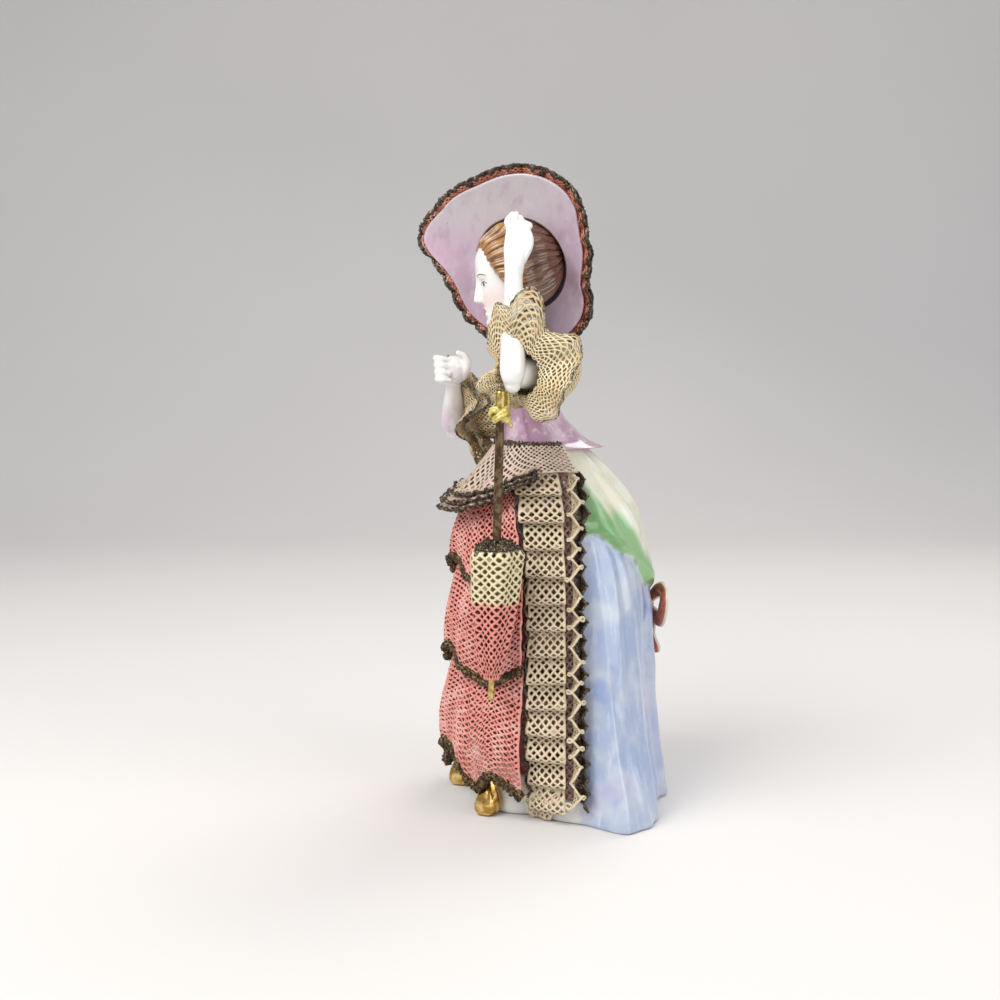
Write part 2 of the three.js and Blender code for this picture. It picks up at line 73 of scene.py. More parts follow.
# Ridges of the train: angle at the foot, angle under the drape, height and half width in degrees
TRAIN_RIDGES = [
    (98, 97, 0.7, 3.5), (110, 106, 1.2, 4.0), (122, 117, 0.8, 3.0), (133, 127, 1.3, 4.5), (145, 137, 0.9, 3.2),
    (157, 150, 1.2, 4.2), (170, 166, 0.8, 3.6), (184, 183, 1.1, 4.6), (198, 199, 0.9, 3.4), (211, 214, 1.3, 4.4),
    (224, 229, 0.8, 3.2), (236, 241, 1.2, 4.2), (249, 252, 0.9, 3.6), (261, 262, 0.7, 3.2),
]

HEAD_CENTRE = (0, -14, 177)
HEAD_NOD = 12
HEAD_TURN = 8
SHOULDER = (16, -5, 146)
LEFT_ELBOW = (38, -27.5, 144)
LEFT_WRIST = (26, -23.4, 176)
LEFT_PALM = (22.5, -21.5, 183)
LEFT_KNUCKLES = (19.5, -20, 189)
LEFT_TIPS = (17.5, -19, 194)
RIGHT_ELBOW = (-31, -27, 124.5)
RIGHT_WRIST = (-18, -31, 138)
RIGHT_FIST = (-14.5, -32.3, 144.5)

ROD_TOP = (38, -31.2, 139.4)
CANOPY_TOP = (33.5, -31.2, 90.8)
ROD_TIP = (31, -32.3, 42.4)
ROD_RADIUS = 1.3

# The hat's frame: crownwards, forwards and upwards along the tilted brim
HAT_CENTRE = (-1.4, -12.8, 178.7)
HAT_BACK = np.array([-0.697, 0.622, 0.358]) / np.linalg.norm([-0.697, 0.622, 0.358])
HAT_FRONT = np.array([0.0, -1.0, 0.0]) + HAT_BACK * HAT_BACK[1]
HAT_FRONT = HAT_FRONT / np.linalg.norm(HAT_FRONT)
HAT_UP = np.cross(HAT_BACK, HAT_FRONT)
CROWN_RADIUS = 17.3
CROWN_HEIGHT = 19.6
HAT_WALL = 1.6
BRIM_DISH = 2.6
RIM_REACH = [[-180, 21.6], [-150, 26.5], [-120, 26.5], [-90, 26], [-60, 25.5], [-36, 24.4], [-18, 27],
             [0, 34.5], [22, 31.5], [45, 29.4], [70, 29.6], [95, 31.4], [118, 29.2], [140, 24.2], [160, 22],
             [180, 21.6]]

# Tiers of pink lace: height of the top, hem height by angle from the front, stand-off and number of folds
TIERS = [
    ("top", 107, [[0, 84], [26, 76], [54, 84]], 3.4, 4),
    ("middle", 86, [[0, 54], [30, 45], [54, 51]], 4.6, 5),
    ("bottom", 56, [[0, 21], [12, 17], [25, 9], [38, 15], [50, 9], [54, 10]], 6.8, 5),
]
LADDER_TOP = 113
LADDER_FOOT = 3
RUNGS = 13

# Reach of each sleeve's flounce by angle round the arm: 0 is up, and 90 is back for the left arm
LEFT_REACH = [[0, 19], [15, 27], [38, 16], [62, 21.5], [80, 20], [100, 18], [117, 17.5], [138, 18],
              [161, 13], [192, 10.5], [225, 12], [260, 12], [290, 9], [315, 14], [336, 21.5], [346, 22],
              [360, 19]]
RIGHT_REACH = [[0, 20], [60, 15], [120, 16], [180, 20], [240, 15], [300, 14], [360, 20]]


def array(*values):
    return np.array(values, float)


def unit(v):
    return v / np.maximum(np.linalg.norm(v, axis=-1, keepdims=True), 1e-9)


def smoothstep(start, end, x):
    """0 before start, 1 after end, and t * t * (3 - 2 * t) between."""
    t = np.clip((x - start) / (end - start), 0, 1)
    return t * t * (3 - 2 * t)


def bump(x, centre, before, after=None):
    """exp(-(distance / width) squared), with one width before the centre and another after it."""
    width = np.where(x < centre, before, before if after is None else after)
    return np.exp(-((x - centre) / width) ** 2)


def along(stations, at):
    """Smooth curve through [position, value] stations: a cubic between neighbours, whose slope at a station is
    the rise over the run from the one before to the one after."""
    x, y = np.array(stations, float).T
    last = len(x) - 1
    before = np.maximum(np.arange(last + 1) - 1, 0)
    after = np.minimum(np.arange(last + 1) + 1, last)
    slope = (y[after] - y[before]) / (x[after] - x[before])
    at = np.clip(at, x[0], x[last])
    i = np.clip(np.searchsorted(x, at, side="right") - 1, 0, last - 1)
    width = x[i + 1] - x[i]
    t = (at - x[i]) / width
    leave = t * (1 - t) ** 2 * width * slope[i]
    arrive = t * t * (t - 1) * width * slope[i + 1]
    return y[i] + (y[i + 1] - y[i]) * t * t * (3 - 2 * t) + leave + arrive


def ripple(seed, *coordinates, waves=7, coarse=0.6, fine=2.2):
    """Seeded smooth noise between about -1 and 1: a sum of cosines whose directions, paces and phases are drawn."""
    rng = np.random.default_rng(seed)
    total = 0
    for _ in range(waves):
        heading = unit(rng.normal(size=len(coordinates)))
        pace = rng.uniform(coarse, fine)
        phase = rng.uniform(0, FULL_TURN)
        total = total + np.cos(pace * sum(h * c for h, c in zip(heading, coordinates)) + phase)
    return total / np.sqrt(waves)


def wrapped_turn(angle):
    return np.abs((angle + 540) % 360 - 180)


def drape_hem(turn):
    """Height of the hem of the cream and green drape by turn from the front."""
    return 94 - 26 * smoothstep(84, 180, turn)


def skirt_radius(angle, z):
    """Oval of the front, side and back stations, plus the train's corners, less the hollows beside the feet, plus
    the train's broad folds and the drape's thickness above its hem."""
    axis = along(SKIRT_AXIS, z)
    turn = wrapped_turn(angle)
    front = axis - along(SKIRT_FRONT, z)
    back = along(SKIRT_BACK, z) - axis
    depth = np.where(turn < 90, front, back)
    side = along(SKIRT_SIDE, z)
    oval = 1 / np.hypot(np.sin(turn * DEGREE) / side, np.cos(turn * DEGREE) / depth)
    corner = along(TRAIN_SPREAD, z) * bump(turn, 100, 10, 24)
    hollow = along(HOLLOW_BESIDE_FOOT, z) * bump(turn, 58, 16)
    folds = along(TRAIN_FOLD_DEPTH, z) * smoothstep(98, 116, turn) * np.cos(9 * turn * DEGREE)
    hem = drape_hem(turn)
    drape = 1.8 * smoothstep(hem, hem + 4, z) * smoothstep(84, 92, turn)
    return oval + corner - hollow + folds + drape * smoothstep(WAIST + 4, WAIST - 14, z)


def around_skirt(angle, z, radius):
    """Point at an angle from the front, a height and a distance from the skirt's axis."""
    return np.stack(np.broadcast_arrays(
        radius * np.sin(angle * DEGREE), along(SKIRT_AXIS, z) - radius * np.cos(angle * DEGREE), z), -1)


def on_skirt(angle, z, stand_off=0.0):
    return around_skirt(angle, z, skirt_radius(angle, z) + stand_off)


class Piece:
    """Points and faces of one piece in millimetres, gathered from closed surfaces."""

    def __init__(self):
        self.points = []
        self.faces = []
        self.marks = []
        self.count = 0

    def add(self, points, faces, finish=0, **marks):
        """Takes one closed surface, turned so that its volume is positive, with named values for its points."""
        points = np.asarray(points, float).reshape(-1, 3)
        volume = 0.0
        for group in faces:
            a = points[group[:, 0]]
            for k in range(1, group.shape[1] - 1):
                volume += np.einsum("ij,ij->", a, np.cross(points[group[:, k]], points[group[:, k + 1]]))
        for group in faces:
            turned = group if volume > 0 else group[:, ::-1]
            self.faces.append((turned + self.count, finish))
        self.marks.append({name: np.broadcast_to(np.ravel(value), len(points)) for name, value in marks.items()})
        self.points.append(points)
        self.count += len(points)

    def build(self, name, node, finishes):
        """Puts the piece into Blender in metres, smooth shaded, riding on the figurine in place of its node."""
        mesh = bpy.data.meshes.new(name)
        mesh.vertices.add(self.count)
        mesh.vertices.foreach_set("co", (np.concatenate(self.points) * MM).ravel())
        loops = np.concatenate([group.ravel() for group, _ in self.faces])
        sizes = np.concatenate([np.full(len(group), group.shape[1]) for group, _ in self.faces])
        kinds = np.concatenate([np.full(len(group), finish) for group, finish in self.faces])
        mesh.loops.add(len(loops))
        mesh.loops.foreach_set("vertex_index", loops)
        mesh.polygons.add(len(sizes))
        mesh.polygons.foreach_set("loop_start", np.concatenate([[0], np.cumsum(sizes)[:-1]]))
        mesh.polygons.foreach_set("material_index", kinds)
        for mark in sorted({mark for block in self.marks for mark in block}):
            values = [block.get(mark, np.zeros(len(points))) for block, points in zip(self.marks, self.points)]
            layer = mesh.attributes.new(mark, "FLOAT", "POINT")
            layer.data.foreach_set("value", np.concatenate(values).astype(np.float32))
        mesh.update(calc_edges=True)
        mesh.validate()
        mesh.shade_smooth()
        for finish in finishes:
            mesh.materials.append(finish)
        piece = bpy.data.objects.new(name, mesh)
        bpy.context.collection.objects.link(piece)
        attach(piece, "root")
        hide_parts(node)
        return piece


def quads(rows, columns, wrapped=True):
    """Faces of a grid of points in row order; a wrapped one closes along its rows."""
    j, i = np.meshgrid(np.arange(rows - 1), np.arange(columns if wrapped else columns - 1), indexing="ij")
    a = j * columns + i
    b = j * columns + (i + 1) % columns
    return np.stack([a, b, b + columns, a + columns], -1).reshape(-1, 4)


def closed_rings(rings):
    """Points and faces of a stack of rings, with a fan on the middle of the first ring and of the last."""
    rows, columns, _ = rings.shape
    i = np.arange(columns)
    following = (i + 1) % columns
    middles = np.stack([rings[0].mean(0), rings[-1].mean(0)])
    start = np.full(columns, rows * columns)
    foot = np.stack([start, following, i], -1)
    last = (rows - 1) * columns
    head = np.stack([start + 1, last + i, last + following], -1)
    return np.concatenate([rings.reshape(-1, 3), middles]), [quads(rows, columns), foot, head]


def sheet(surface, across, down, thickness, wrapped=False):
    """Closed sheet: the surface moved half the thickness along its normal to each side, and walls on its edges."""
    columns = across if wrapped else across + 1
    v, u = np.meshgrid(np.arange(down + 1) / down, np.arange(columns) / across, indexing="ij")
    middle, normal = lifted(surface, u, v, 0.5 / across, 0.5 / down, wrapped)
    points = np.concatenate([(middle + normal * thickness / 2).reshape(-1, 3),
                             (middle - normal * thickness / 2).reshape(-1, 3)])
    half = len(points) // 2
    front = quads(down + 1, columns, wrapped)
    rim = [np.arange(columns), down * columns + np.arange(columns)[::-1]]
    if wrapped:
        rim = [np.append(rim[0], 0), np.append(rim[1], rim[1][0])]
    else:
        side = np.arange(down + 1) * columns
        rim += [side[::-1], side + columns - 1]
    walls = [np.stack([edge[1:], edge[:-1], half + edge[:-1], half + edge[1:]], -1) for edge in rim]
    return points, [front, front[:, ::-1] + half, np.concatenate(walls)]


def lifted(surface, s, t, step_s, step_t, wrapped):
    """Point and unit normal of a surface of two parameters from 0 to 1, the normal from small steps."""
    low_s, high_s = (s - step_s, s + step_s) if wrapped else (np.maximum(s - step_s, 0), np.minimum(s + step_s, 1))
    low_t, high_t = np.maximum(t - step_t, 0), np.minimum(t + step_t, 1)
    normal = np.cross(surface(high_s, t) - surface(low_s, t), surface(s, high_t) - surface(s, low_t))
    return surface(s, t), unit(normal)


# The ring of eight points round a hole of the net, in lattice steps: corners and middles of its four strands
HOLE_RING = np.array([[1, 0], [0.5, 0.5], [0, 1], [-0.5, 0.5], [-1, 0], [-0.5, -0.5], [0, -1], [0.5, -0.5]])


def net(surface, across, down, seed, wrapped=False, strand=0.42, crest=0.36, rim=0.15, clogged=0.04, hem=None):
    """Lace: a lattice of strands with one hole round every other lattice point. The strands' crests run through
    the lattice points and the points half way between them, each hole is a smaller ring of eight points, and both
    faces are the surface moved along its normal, further on the crests than at the holes. A few holes are filled
    with slip. The edges are closed by half diamonds and a wall."""
    rng = np.random.default_rng(seed)
    across = 2 * round(across / 2)
    down = 2 * round(down / 2)
    columns = 2 * across + (0 if wrapped else 1)
    rows = 2 * down + 1
    y, x = np.meshgrid(np.arange(rows) / 2, np.arange(columns) / 2, indexing="ij")
    inside = (y > 0) & (y < down) & (wrapped | ((x > 0) & (x < across)))
    sway = rng.normal(0, 0.075, (rows, columns, 2)) * inside[..., None]
    crests = np.stack([x, y], -1) + sway
    j, i = np.meshgrid(np.arange(1, down), np.arange(0 if wrapped else 1, across), indexing="ij")
    odd = (i + j) % 2 == 1
    centre = np.stack([i[odd], j[odd]], -1)[:, None]
    corner = np.rint(2 * (centre + HOLE_RING)).astype(int)
    outer = corner[..., 1] * columns + corner[..., 0] % columns
    reach = HOLE_RING + sway.reshape(-1, 2)[outer]
    size = (1 - strand) * np.clip(rng.normal(1, 0.1, (len(centre), 1, 1)), 0.7, 1.25)
    rounded = np.where(np.arange(8) % 2 == 0, 0.86, 1.04)[:, None]
    inner = centre + reach * size * rounded * rng.normal(1, 0.05, (len(centre), 8, 1))
    flat = np.concatenate([crests.reshape(-1, 2), inner.reshape(-1, 2)])
    s, t = flat[:, 0] / across, flat[:, 1] / down
    middle, normal = lifted(surface, s, t, 0.3 / across, 0.3 / down, wrapped)
    base = rows * columns
    holes = len(centre)
    lift = np.full(len(flat), rim)
    lift[:base] = crest * rng.normal(1, 0.16, base)
    points = np.concatenate([middle + normal * lift[:, None], middle - normal * lift[:, None]])
    half = len(flat)
    ring = base + 8 * np.arange(holes)[:, None] + np.arange(8)
    following = np.roll(np.arange(8), -1)
    strands = np.stack([outer, outer[:, following], ring[:, following], ring], -1).reshape(-1, 4)
    filled = rng.random(holes) < clogged
    open_ring = ring[~filled]
    walls = np.stack([open_ring, open_ring[:, following], open_ring[:, following] + half, open_ring + half], -1)
    lids = ring[filled]
    fans, edges = net_border(across, down, columns, wrapped)
    faces = [strands, strands[:, ::-1] + half, walls.reshape(-1, 4), lids, lids[:, ::-1] + half,
             fans, fans[:, ::-1] + half, np.stack([edges[:, 1], edges[:, 0], edges[:, 0] + half,
                                                   edges[:, 1] + half], -1)]
    faces = [group for group in faces if len(group)]
    used = np.unique(np.concatenate([group.ravel() for group in faces]))
    place = np.zeros(len(points), int)
    place[used] = np.arange(len(used))
    depth = np.zeros(half)
    depth[:base] = 1
    trim = np.zeros(half) if hem is None else np.broadcast_to(hem(s, t), half)
    marks = {"crest": np.tile(depth, 2)[used], "hem": np.tile(trim, 2)[used]}
    return points[used], [place[group] for group in faces], marks


def net_border(across, down, columns, wrapped):
    """Half diamonds on the net's edges, as fans on the lattice points between the corners, and the edges' points
    in the order in which the fans run."""
    fans, edges = [], []
    sides = [(np.arange(1, across, 2), 0, 0, True), (np.arange(1, across, 2), down, 4, True)]
    if not wrapped:
        sides += [(np.arange(1, down, 2), 0, 6, False), (np.arange(1, down, 2), across, 2, False)]
    for odd, fixed, first, level in sides:
        centre = np.stack([odd, np.full_like(odd, fixed)] if level else [np.full_like(odd, fixed), odd], -1)
        step = HOLE_RING[(first + np.arange(5)) % 8]
        corner = np.rint(2 * (centre[:, None] + step)).astype(int)
        outer = corner[..., 1] * columns + corner[..., 0] % columns
        middle = 2 * centre[:, 1] * columns + 2 * centre[:, 0] % columns
        for k in range(4):
            fans.append(np.stack([middle, outer[:, k], outer[:, k + 1]], -1))
        edges.append(np.stack([middle, outer[:, 0]], -1))
        edges.append(np.stack([outer[:, 4], middle], -1))
    return np.concatenate(fans), np.concatenate(edges)


def crumbs(path, normal, radius, seed, sides=8, rough=0.24, flat=0.8):
    """Crumbly fired edge: rings round a path, in the plane of the given normal and the path's own side, with the
    reach of each point scaled by beads along the path and by seeded noise."""
    rng = np.random.default_rng(seed)
    rows = len(path)
    tangent = unit(np.gradient(path, axis=0))
    side = unit(np.cross(tangent, normal))
    up = np.cross(side, tangent)
    turn = np.arange(sides) / sides * FULL_TURN
    beads = 1 + 0.22 * np.cos(np.cumsum(rng.uniform(0.9, 2.6, rows)))
    reach = radius * beads[:, None] * np.clip(rng.normal(1, rough, (rows, sides)), 0.45, 1.6)
    reach[[0, -1]] *= 0.5
    rings = path[:, None] + (side[:, None] * np.cos(turn)[:, None] + up[:, None] * flat * np.sin(turn)[:, None]) \
        * reach[..., None]
    return closed_rings(rings)


def edge_of(surface, across, t=1.0, step=0.03, lift=0.0):
    """Path of an edge of a surface, with its normals, in even steps of the parameter s."""
    s = np.linspace(0, 1, across)
    point, normal = lifted(surface, s, np.full(across, t), 0.3 / across, step, False)
    return point + normal * lift, normal


def limb(stations, radii, sides=28, flat=(1, 0, 0), rows=40, round_ends=True):
    """Tube through stations, with its two radii, across and along a flat direction, carried smoothly between
    them. Round ends are quarter circles of the end's own radii."""
    stations = np.array(stations, float)
    radii = np.array([[r, r] if np.ndim(r) == 0 else r for r in radii], float)
    index = np.arange(len(stations))
    t = np.linspace(0, len(stations) - 1, rows)
    centre = np.stack([along(np.stack([index, stations[:, k]], -1), t) for k in range(3)], -1)
    size = np.stack([along(np.stack([index, radii[:, k]], -1), t) for k in range(2)], -1)
    tangent = unit(np.gradient(centre, axis=0))
    if round_ends:
        lean = np.linspace(84, 15, 5)[:, None] * DEGREE
        before = centre[0] - tangent[0] * size[0].mean() * np.sin(lean)
        after = centre[-1] + tangent[-1] * size[-1].mean() * np.sin(lean[::-1])
        centre = np.concatenate([before, centre, after])
        size = np.concatenate([size[0] * np.cos(lean), size, size[-1] * np.cos(lean[::-1])])
        tangent = np.concatenate([np.repeat(tangent[:1], 5, 0), tangent, np.repeat(tangent[-1:], 5, 0)])
    flat = array(*flat)
    thin = unit(flat - tangent * (tangent @ flat)[:, None])
    wide = np.cross(tangent, thin)
    turn = np.arange(sides) / sides * FULL_TURN
    rings = centre[:, None] + wide[:, None] * (size[:, :1] * np.cos(turn))[..., None] \
        + thin[:, None] * (size[:, 1:] * np.sin(turn))[..., None]
    return closed_rings(rings)


def ellipsoid(centre, reach, columns=36, rows=20, turn=None):
    """Rings of an ellipsoid from its lowest point to its highest."""
    lift = np.linspace(-88, 88, rows)[:, None] * DEGREE
    around = np.arange(columns) / columns * FULL_TURN
    shape = np.stack(np.broadcast_arrays(
        reach[0] * np.cos(lift) * np.cos(around), reach[1] * np.cos(lift) * np.sin(around),
        reach[2] * np.sin(lift)), -1)
    if turn is not None:
        shape = shape @ turn.T
    return closed_rings(shape + array(*centre))


def melted(piece, voxel, passes):
    """Joins a piece's overlapping surfaces into one skin and smooths it, as slip does over a cast's seams."""
    remesh = piece.modifiers.new("skin", "REMESH")
    remesh.mode = "VOXEL"
    remesh.voxel_size = voxel * MM
    smooth = piece.modifiers.new("smooth", "SMOOTH")
    smooth.factor = 0.5
    smooth.iterations = passes
    graph = bpy.context.evaluated_depsgraph_get()
    skin = bpy.data.meshes.new_from_object(piece.evaluated_get(graph))
    piece.modifiers.clear()
    finishes = list(piece.data.materials)
    piece.data = skin
    piece.data.materials.clear()
    for finish in finishes:
        piece.data.materials.append(finish)
    piece.data.shade_smooth()
    return piece


# Finishes

class Wire:
    """One output of a material's node, so that shader maths reads as plain expressions."""

    def __init__(self, socket):
        self.socket = socket

    def add(self, kind, settings=None, output=0, **sockets):
        """New node of a kind, its settings made first and its sockets filled by name, or by number as _0. Gives
        one of its outputs back."""
        tree = self.socket.id_data
        node = tree.nodes.new(kind)
        for name, value in (settings or {}).items():
            if name == "stops":
                fill_ramp(node.color_ramp, value)
            else:
                setattr(node, name, value)
        for key, value in sockets.items():
            target = node.inputs[int(key[1:])] if key[0] == "_" else node.inputs[key.replace("_", " ")]
            if isinstance(value, Wire):
                tree.links.new(value.socket, target)
            else:
                target.default_value = value
        return Wire(node.outputs[output])

    def maths(self, operation, first, second=0.0):
        return self.add("ShaderNodeMath", {"operation": operation}, _0=first, _1=second)

    def __add__(self, other):
        return self.maths("ADD", self, other)

    def __sub__(self, other):
        return self.maths("SUBTRACT", self, other)

    def __rsub__(self, other):
        return self.maths("SUBTRACT", other, self)

    def __mul__(self, other):
        return self.maths("MULTIPLY", self, other)

    def __truediv__(self, other):
        return self.maths("DIVIDE", self, other)

    def __pow__(self, other):
        return self.maths("POWER", self, other)

    def __abs__(self):
        return self.maths("ABSOLUTE", self)

    __radd__ = __add__
    __rmul__ = __mul__

    def rise(self, start, end):
        """0 at start and 1 at end, smoothly between."""
        settings = {"interpolation_type": "SMOOTHSTEP"}
        return self.add("ShaderNodeMapRange", settings, Value=self, From_Min=start, From_Max=end)

    def mix(self, first, second):
        """Colour between two colours, by this value."""
        return self.add("ShaderNodeMix", {"data_type": "RGBA"}, 2, _0=self, _6=first, _7=second)

    def noise(self, feature, detail=2.0, roughness=0.5):
        """Noise of these coordinates with features of a size in millimetres."""
        return self.add("ShaderNodeTexNoise", Vector=self, Scale=1 / (feature * MM), Detail=detail,
                        Roughness=roughness)

    def stretched(self, x, y, z):
        """Coordinates scaled along each axis."""
        return self.add("ShaderNodeVectorMath", {"operation": "MULTIPLY"}, _0=self, _1=(x, y, z))

    def mark(self, name):
        return self.add("ShaderNodeAttribute", {"attribute_name": name}, "Fac")


def fill_ramp(ramp, stops):
    while len(ramp.elements) > 1:
        ramp.elements.remove(ramp.elements[-1])
    ramp.elements[0].position, ramp.elements[0].color = stops[0]
    for position, colour in stops[1:]:
        ramp.elements.new(position).color = colour


def new_finish(name, **plain):
    """Material whose shader has these plain values, the shader's node, and the Object coordinates."""
    finish = bpy.data.materials.new(name)
    finish.use_nodes = True
    tree = finish.node_tree
    tree.nodes.clear()
    shader = tree.nodes.new("ShaderNodeBsdfPrincipled")
    output = tree.nodes.new("ShaderNodeOutputMaterial")
    tree.links.new(shader.outputs[0], output.inputs[0])
    for key, value in plain.items():
        shader.inputs[key.replace("_", " ")].default_value = value
    place = Wire(tree.nodes.new("ShaderNodeTexCoord").outputs["Object"])
    return finish, shader, place


def feed(shader, **sockets):
    for key, wire in sockets.items():
        shader.id_data.links.new(wire.socket, shader.inputs[key.replace("_", " ")])


def bumped(height, strength, depth):
    """Normal from a height, whose full range is a depth in millimetres."""
    return height.add("ShaderNodeBump", None, "Normal", Height=height, Strength=strength, Distance=depth * MM)


def rgb(colour):
    return (*colour, 1.0)


def glazed(shader, place, colour, gloss=0.16, waviness=0.5):
    """Glaze over a painted colour: faint pooling of the tint, iron specks, small pits and a slightly wavy skin."""
    pool = place.noise(9, 3)
    specks = place.noise(0.7, 1).rise(0.73, 0.76) * place.noise(6, 2).rise(0.45, 0.62)
    tinted = (pool * 0.16).mix(colour, rgb((0.42, 0.40, 0.36)))
    feed(shader, Base_Color=(specks * 0.45).mix(tinted, rgb((0.12, 0.10, 0.09))),
         Roughness=gloss + 0.10 * place.noise(3.5, 3),
         Normal=bumped(place.noise(2.6, 2) + 0.5 * specks, waviness, 0.16))


def gown_finish(paint):
    """White glaze with a blue train, a cream drape that turns green to its hem, and painted shade on the skirt under
    the lace: dark rose under the pink tiers and dark brown under the cream ladders, seen through the holes."""
    finish, shader, place = new_finish("painted_gown", Coat_Weight=0.7, Coat_Roughness=0.06)
    streaks = place.stretched(1, 1, 0.16).noise(2.2, 3, 0.6)
    cloud = place.noise(13, 3)
    blue = cloud.rise(0.42, 0.64).mix(rgb(paint.train_blue), rgb((0.47, 0.53, 0.64)))
    blue = (streaks.rise(0.52, 0.72) * 0.55).mix(blue, rgb((0.58, 0.64, 0.74)))
    blue = (place.noise(17, 2).rise(0.60, 0.70) * 0.75).mix(blue, rgb((0.20, 0.30, 0.60)))
    blue = (place.noise(22, 2).rise(0.62, 0.7) * 0.5).mix(blue, rgb((0.46, 0.44, 0.62)))
    cream = cloud.rise(0.4, 0.62).mix(rgb(paint.drape_cream), rgb((0.80, 0.81, 0.70)))
    cream = (place.noise(15, 2).rise(0.52, 0.64) * 0.6).mix(cream, rgb((0.66, 0.62, 0.34)))
    green = cloud.rise(0.35, 0.6).mix(rgb(paint.drape_green), rgb((0.24, 0.47, 0.20)))
    colour = cloud.rise(0.3, 0.7).mix(rgb((0.80, 0.79, 0.75)), rgb((0.72, 0.72, 0.70)))
    # rose and brown are painted shade for the skirt under the lace
    for mark, tint in (("brown", rgb((0.085, 0.05, 0.035))), ("rose", rgb((0.20, 0.03, 0.03))), ("train", blue),
                       ("drape", cream), ("green", green), ("seam", rgb((0.16, 0.24, 0.16)))):
        colour = place.mark(mark).mix(colour, tint)
    glazed(shader, place, colour)
    return finish


def bust_finish(paint):
    """Lilac bodice with painted shade in a band below the sleeves and along its seams, fading out towards the back,
    and white skin above the neckline.
    """
    finish, shader, place = new_finish("painted_bodice", Coat_Weight=0.7, Coat_Roughness=0.06)
    wash = place.noise(7, 3)
    lilac = wash.rise(0.4, 0.62).mix(rgb(paint.bodice_lilac), rgb((0.62, 0.47, 0.56)))
    # Painted shade: deep lilac where the bodice is marked for shade, in the band below the sleeves and along the
    # seams.
    lilac = place.mark("deep").mix(lilac, rgb((0.27, 0.12, 0.20)))
    lilac = (place.noise(2.4, 3).rise(0.55, 0.68) * 0.5).mix(lilac, rgb((0.72, 0.60, 0.68)))
    glazed(shader, place, place.mark("skin").mix(lilac, rgb((0.82, 0.80, 0.77))))
    return finish


def skin_finish(paint):
    """White glazed skin, faintly warm, with lilac paint on the bent arm's sleeve."""
    finish, shader, place = new_finish("white_skin", Coat_Weight=0.8, Coat_Roughness=0.05)
    height = place.add("ShaderNodeSeparateXYZ", None, 2, Vector=place)
    side = place.add("ShaderNodeSeparateXYZ", None, 0, Vector=place)
    sleeve = (height + 0.004 * place.noise(5, 2)).rise(0.139, 0.128) * side.rise(-0.012, -0.016)
    wash = place.noise(5, 2).rise(0.38, 0.62).mix(rgb((0.66, 0.52, 0.62)), rgb((0.80, 0.76, 0.80)))
    glazed(shader, place, sleeve.mix(rgb((0.83, 0.82, 0.79)), wash), 0.12)
    return finish


def lace_finish(name, light, deep, tint, coarse=5.0, gloss=0.38):
    """Fired lace: glazed strands that are lighter on their crests and darker round the holes, painted light and
    painted shade with some glaze pooled in the holes, tinted in patches, and dark bronze with gilt grains towards the
    hems."""
    finish, shader, place = new_finish(name, Coat_Weight=0.25, Coat_Roughness=0.2)
    grain = place.noise(0.5, 3, 0.6)
    patch = place.noise(coarse, 2)
    # Painted light and shade: the light colour on the strands' crests, the dark colour round the holes.
    crest = (place.mark("crest") * 0.85 + grain * 0.5).rise(0.15, 0.85)
    colour = crest.mix(rgb(deep), rgb(light))
    colour = (patch.rise(0.46, 0.66) * 0.7).mix(colour, rgb(tint))
    dark = (place.mark("hem") + 0.5 * (place.noise(1.1, 2) - 0.5)).rise(0.38, 0.62)
    gilt = place.noise(0.8, 2).rise(0.56, 0.66)
    bronze = gilt.mix(rgb((0.035, 0.022, 0.014)), rgb((0.26, 0.17, 0.07)))
    feed(shader, Base_Color=dark.mix(colour, bronze), Roughness=gloss + 0.2 * grain - 0.1 * dark,
         Metallic=dark * (0.25 + 0.6 * gilt), Normal=bumped(grain, 0.35, 0.12))
    return finish


def metal_finish(name, dark, bright, patch, gloss, **plain):
    """Fired or bronzed metal with brighter worn patches."""
    finish, shader, place = new_finish(name, **plain)
    worn = place.noise(patch, 3, 0.6)
    feed(shader, Base_Color=worn.rise(0.42, 0.62).mix(rgb(dark), rgb(bright)), Roughness=gloss + 0.25 * worn,
         Normal=bumped(place.noise(0.6, 3), 0.3, 0.08))
    return finish


# Porcelain pieces

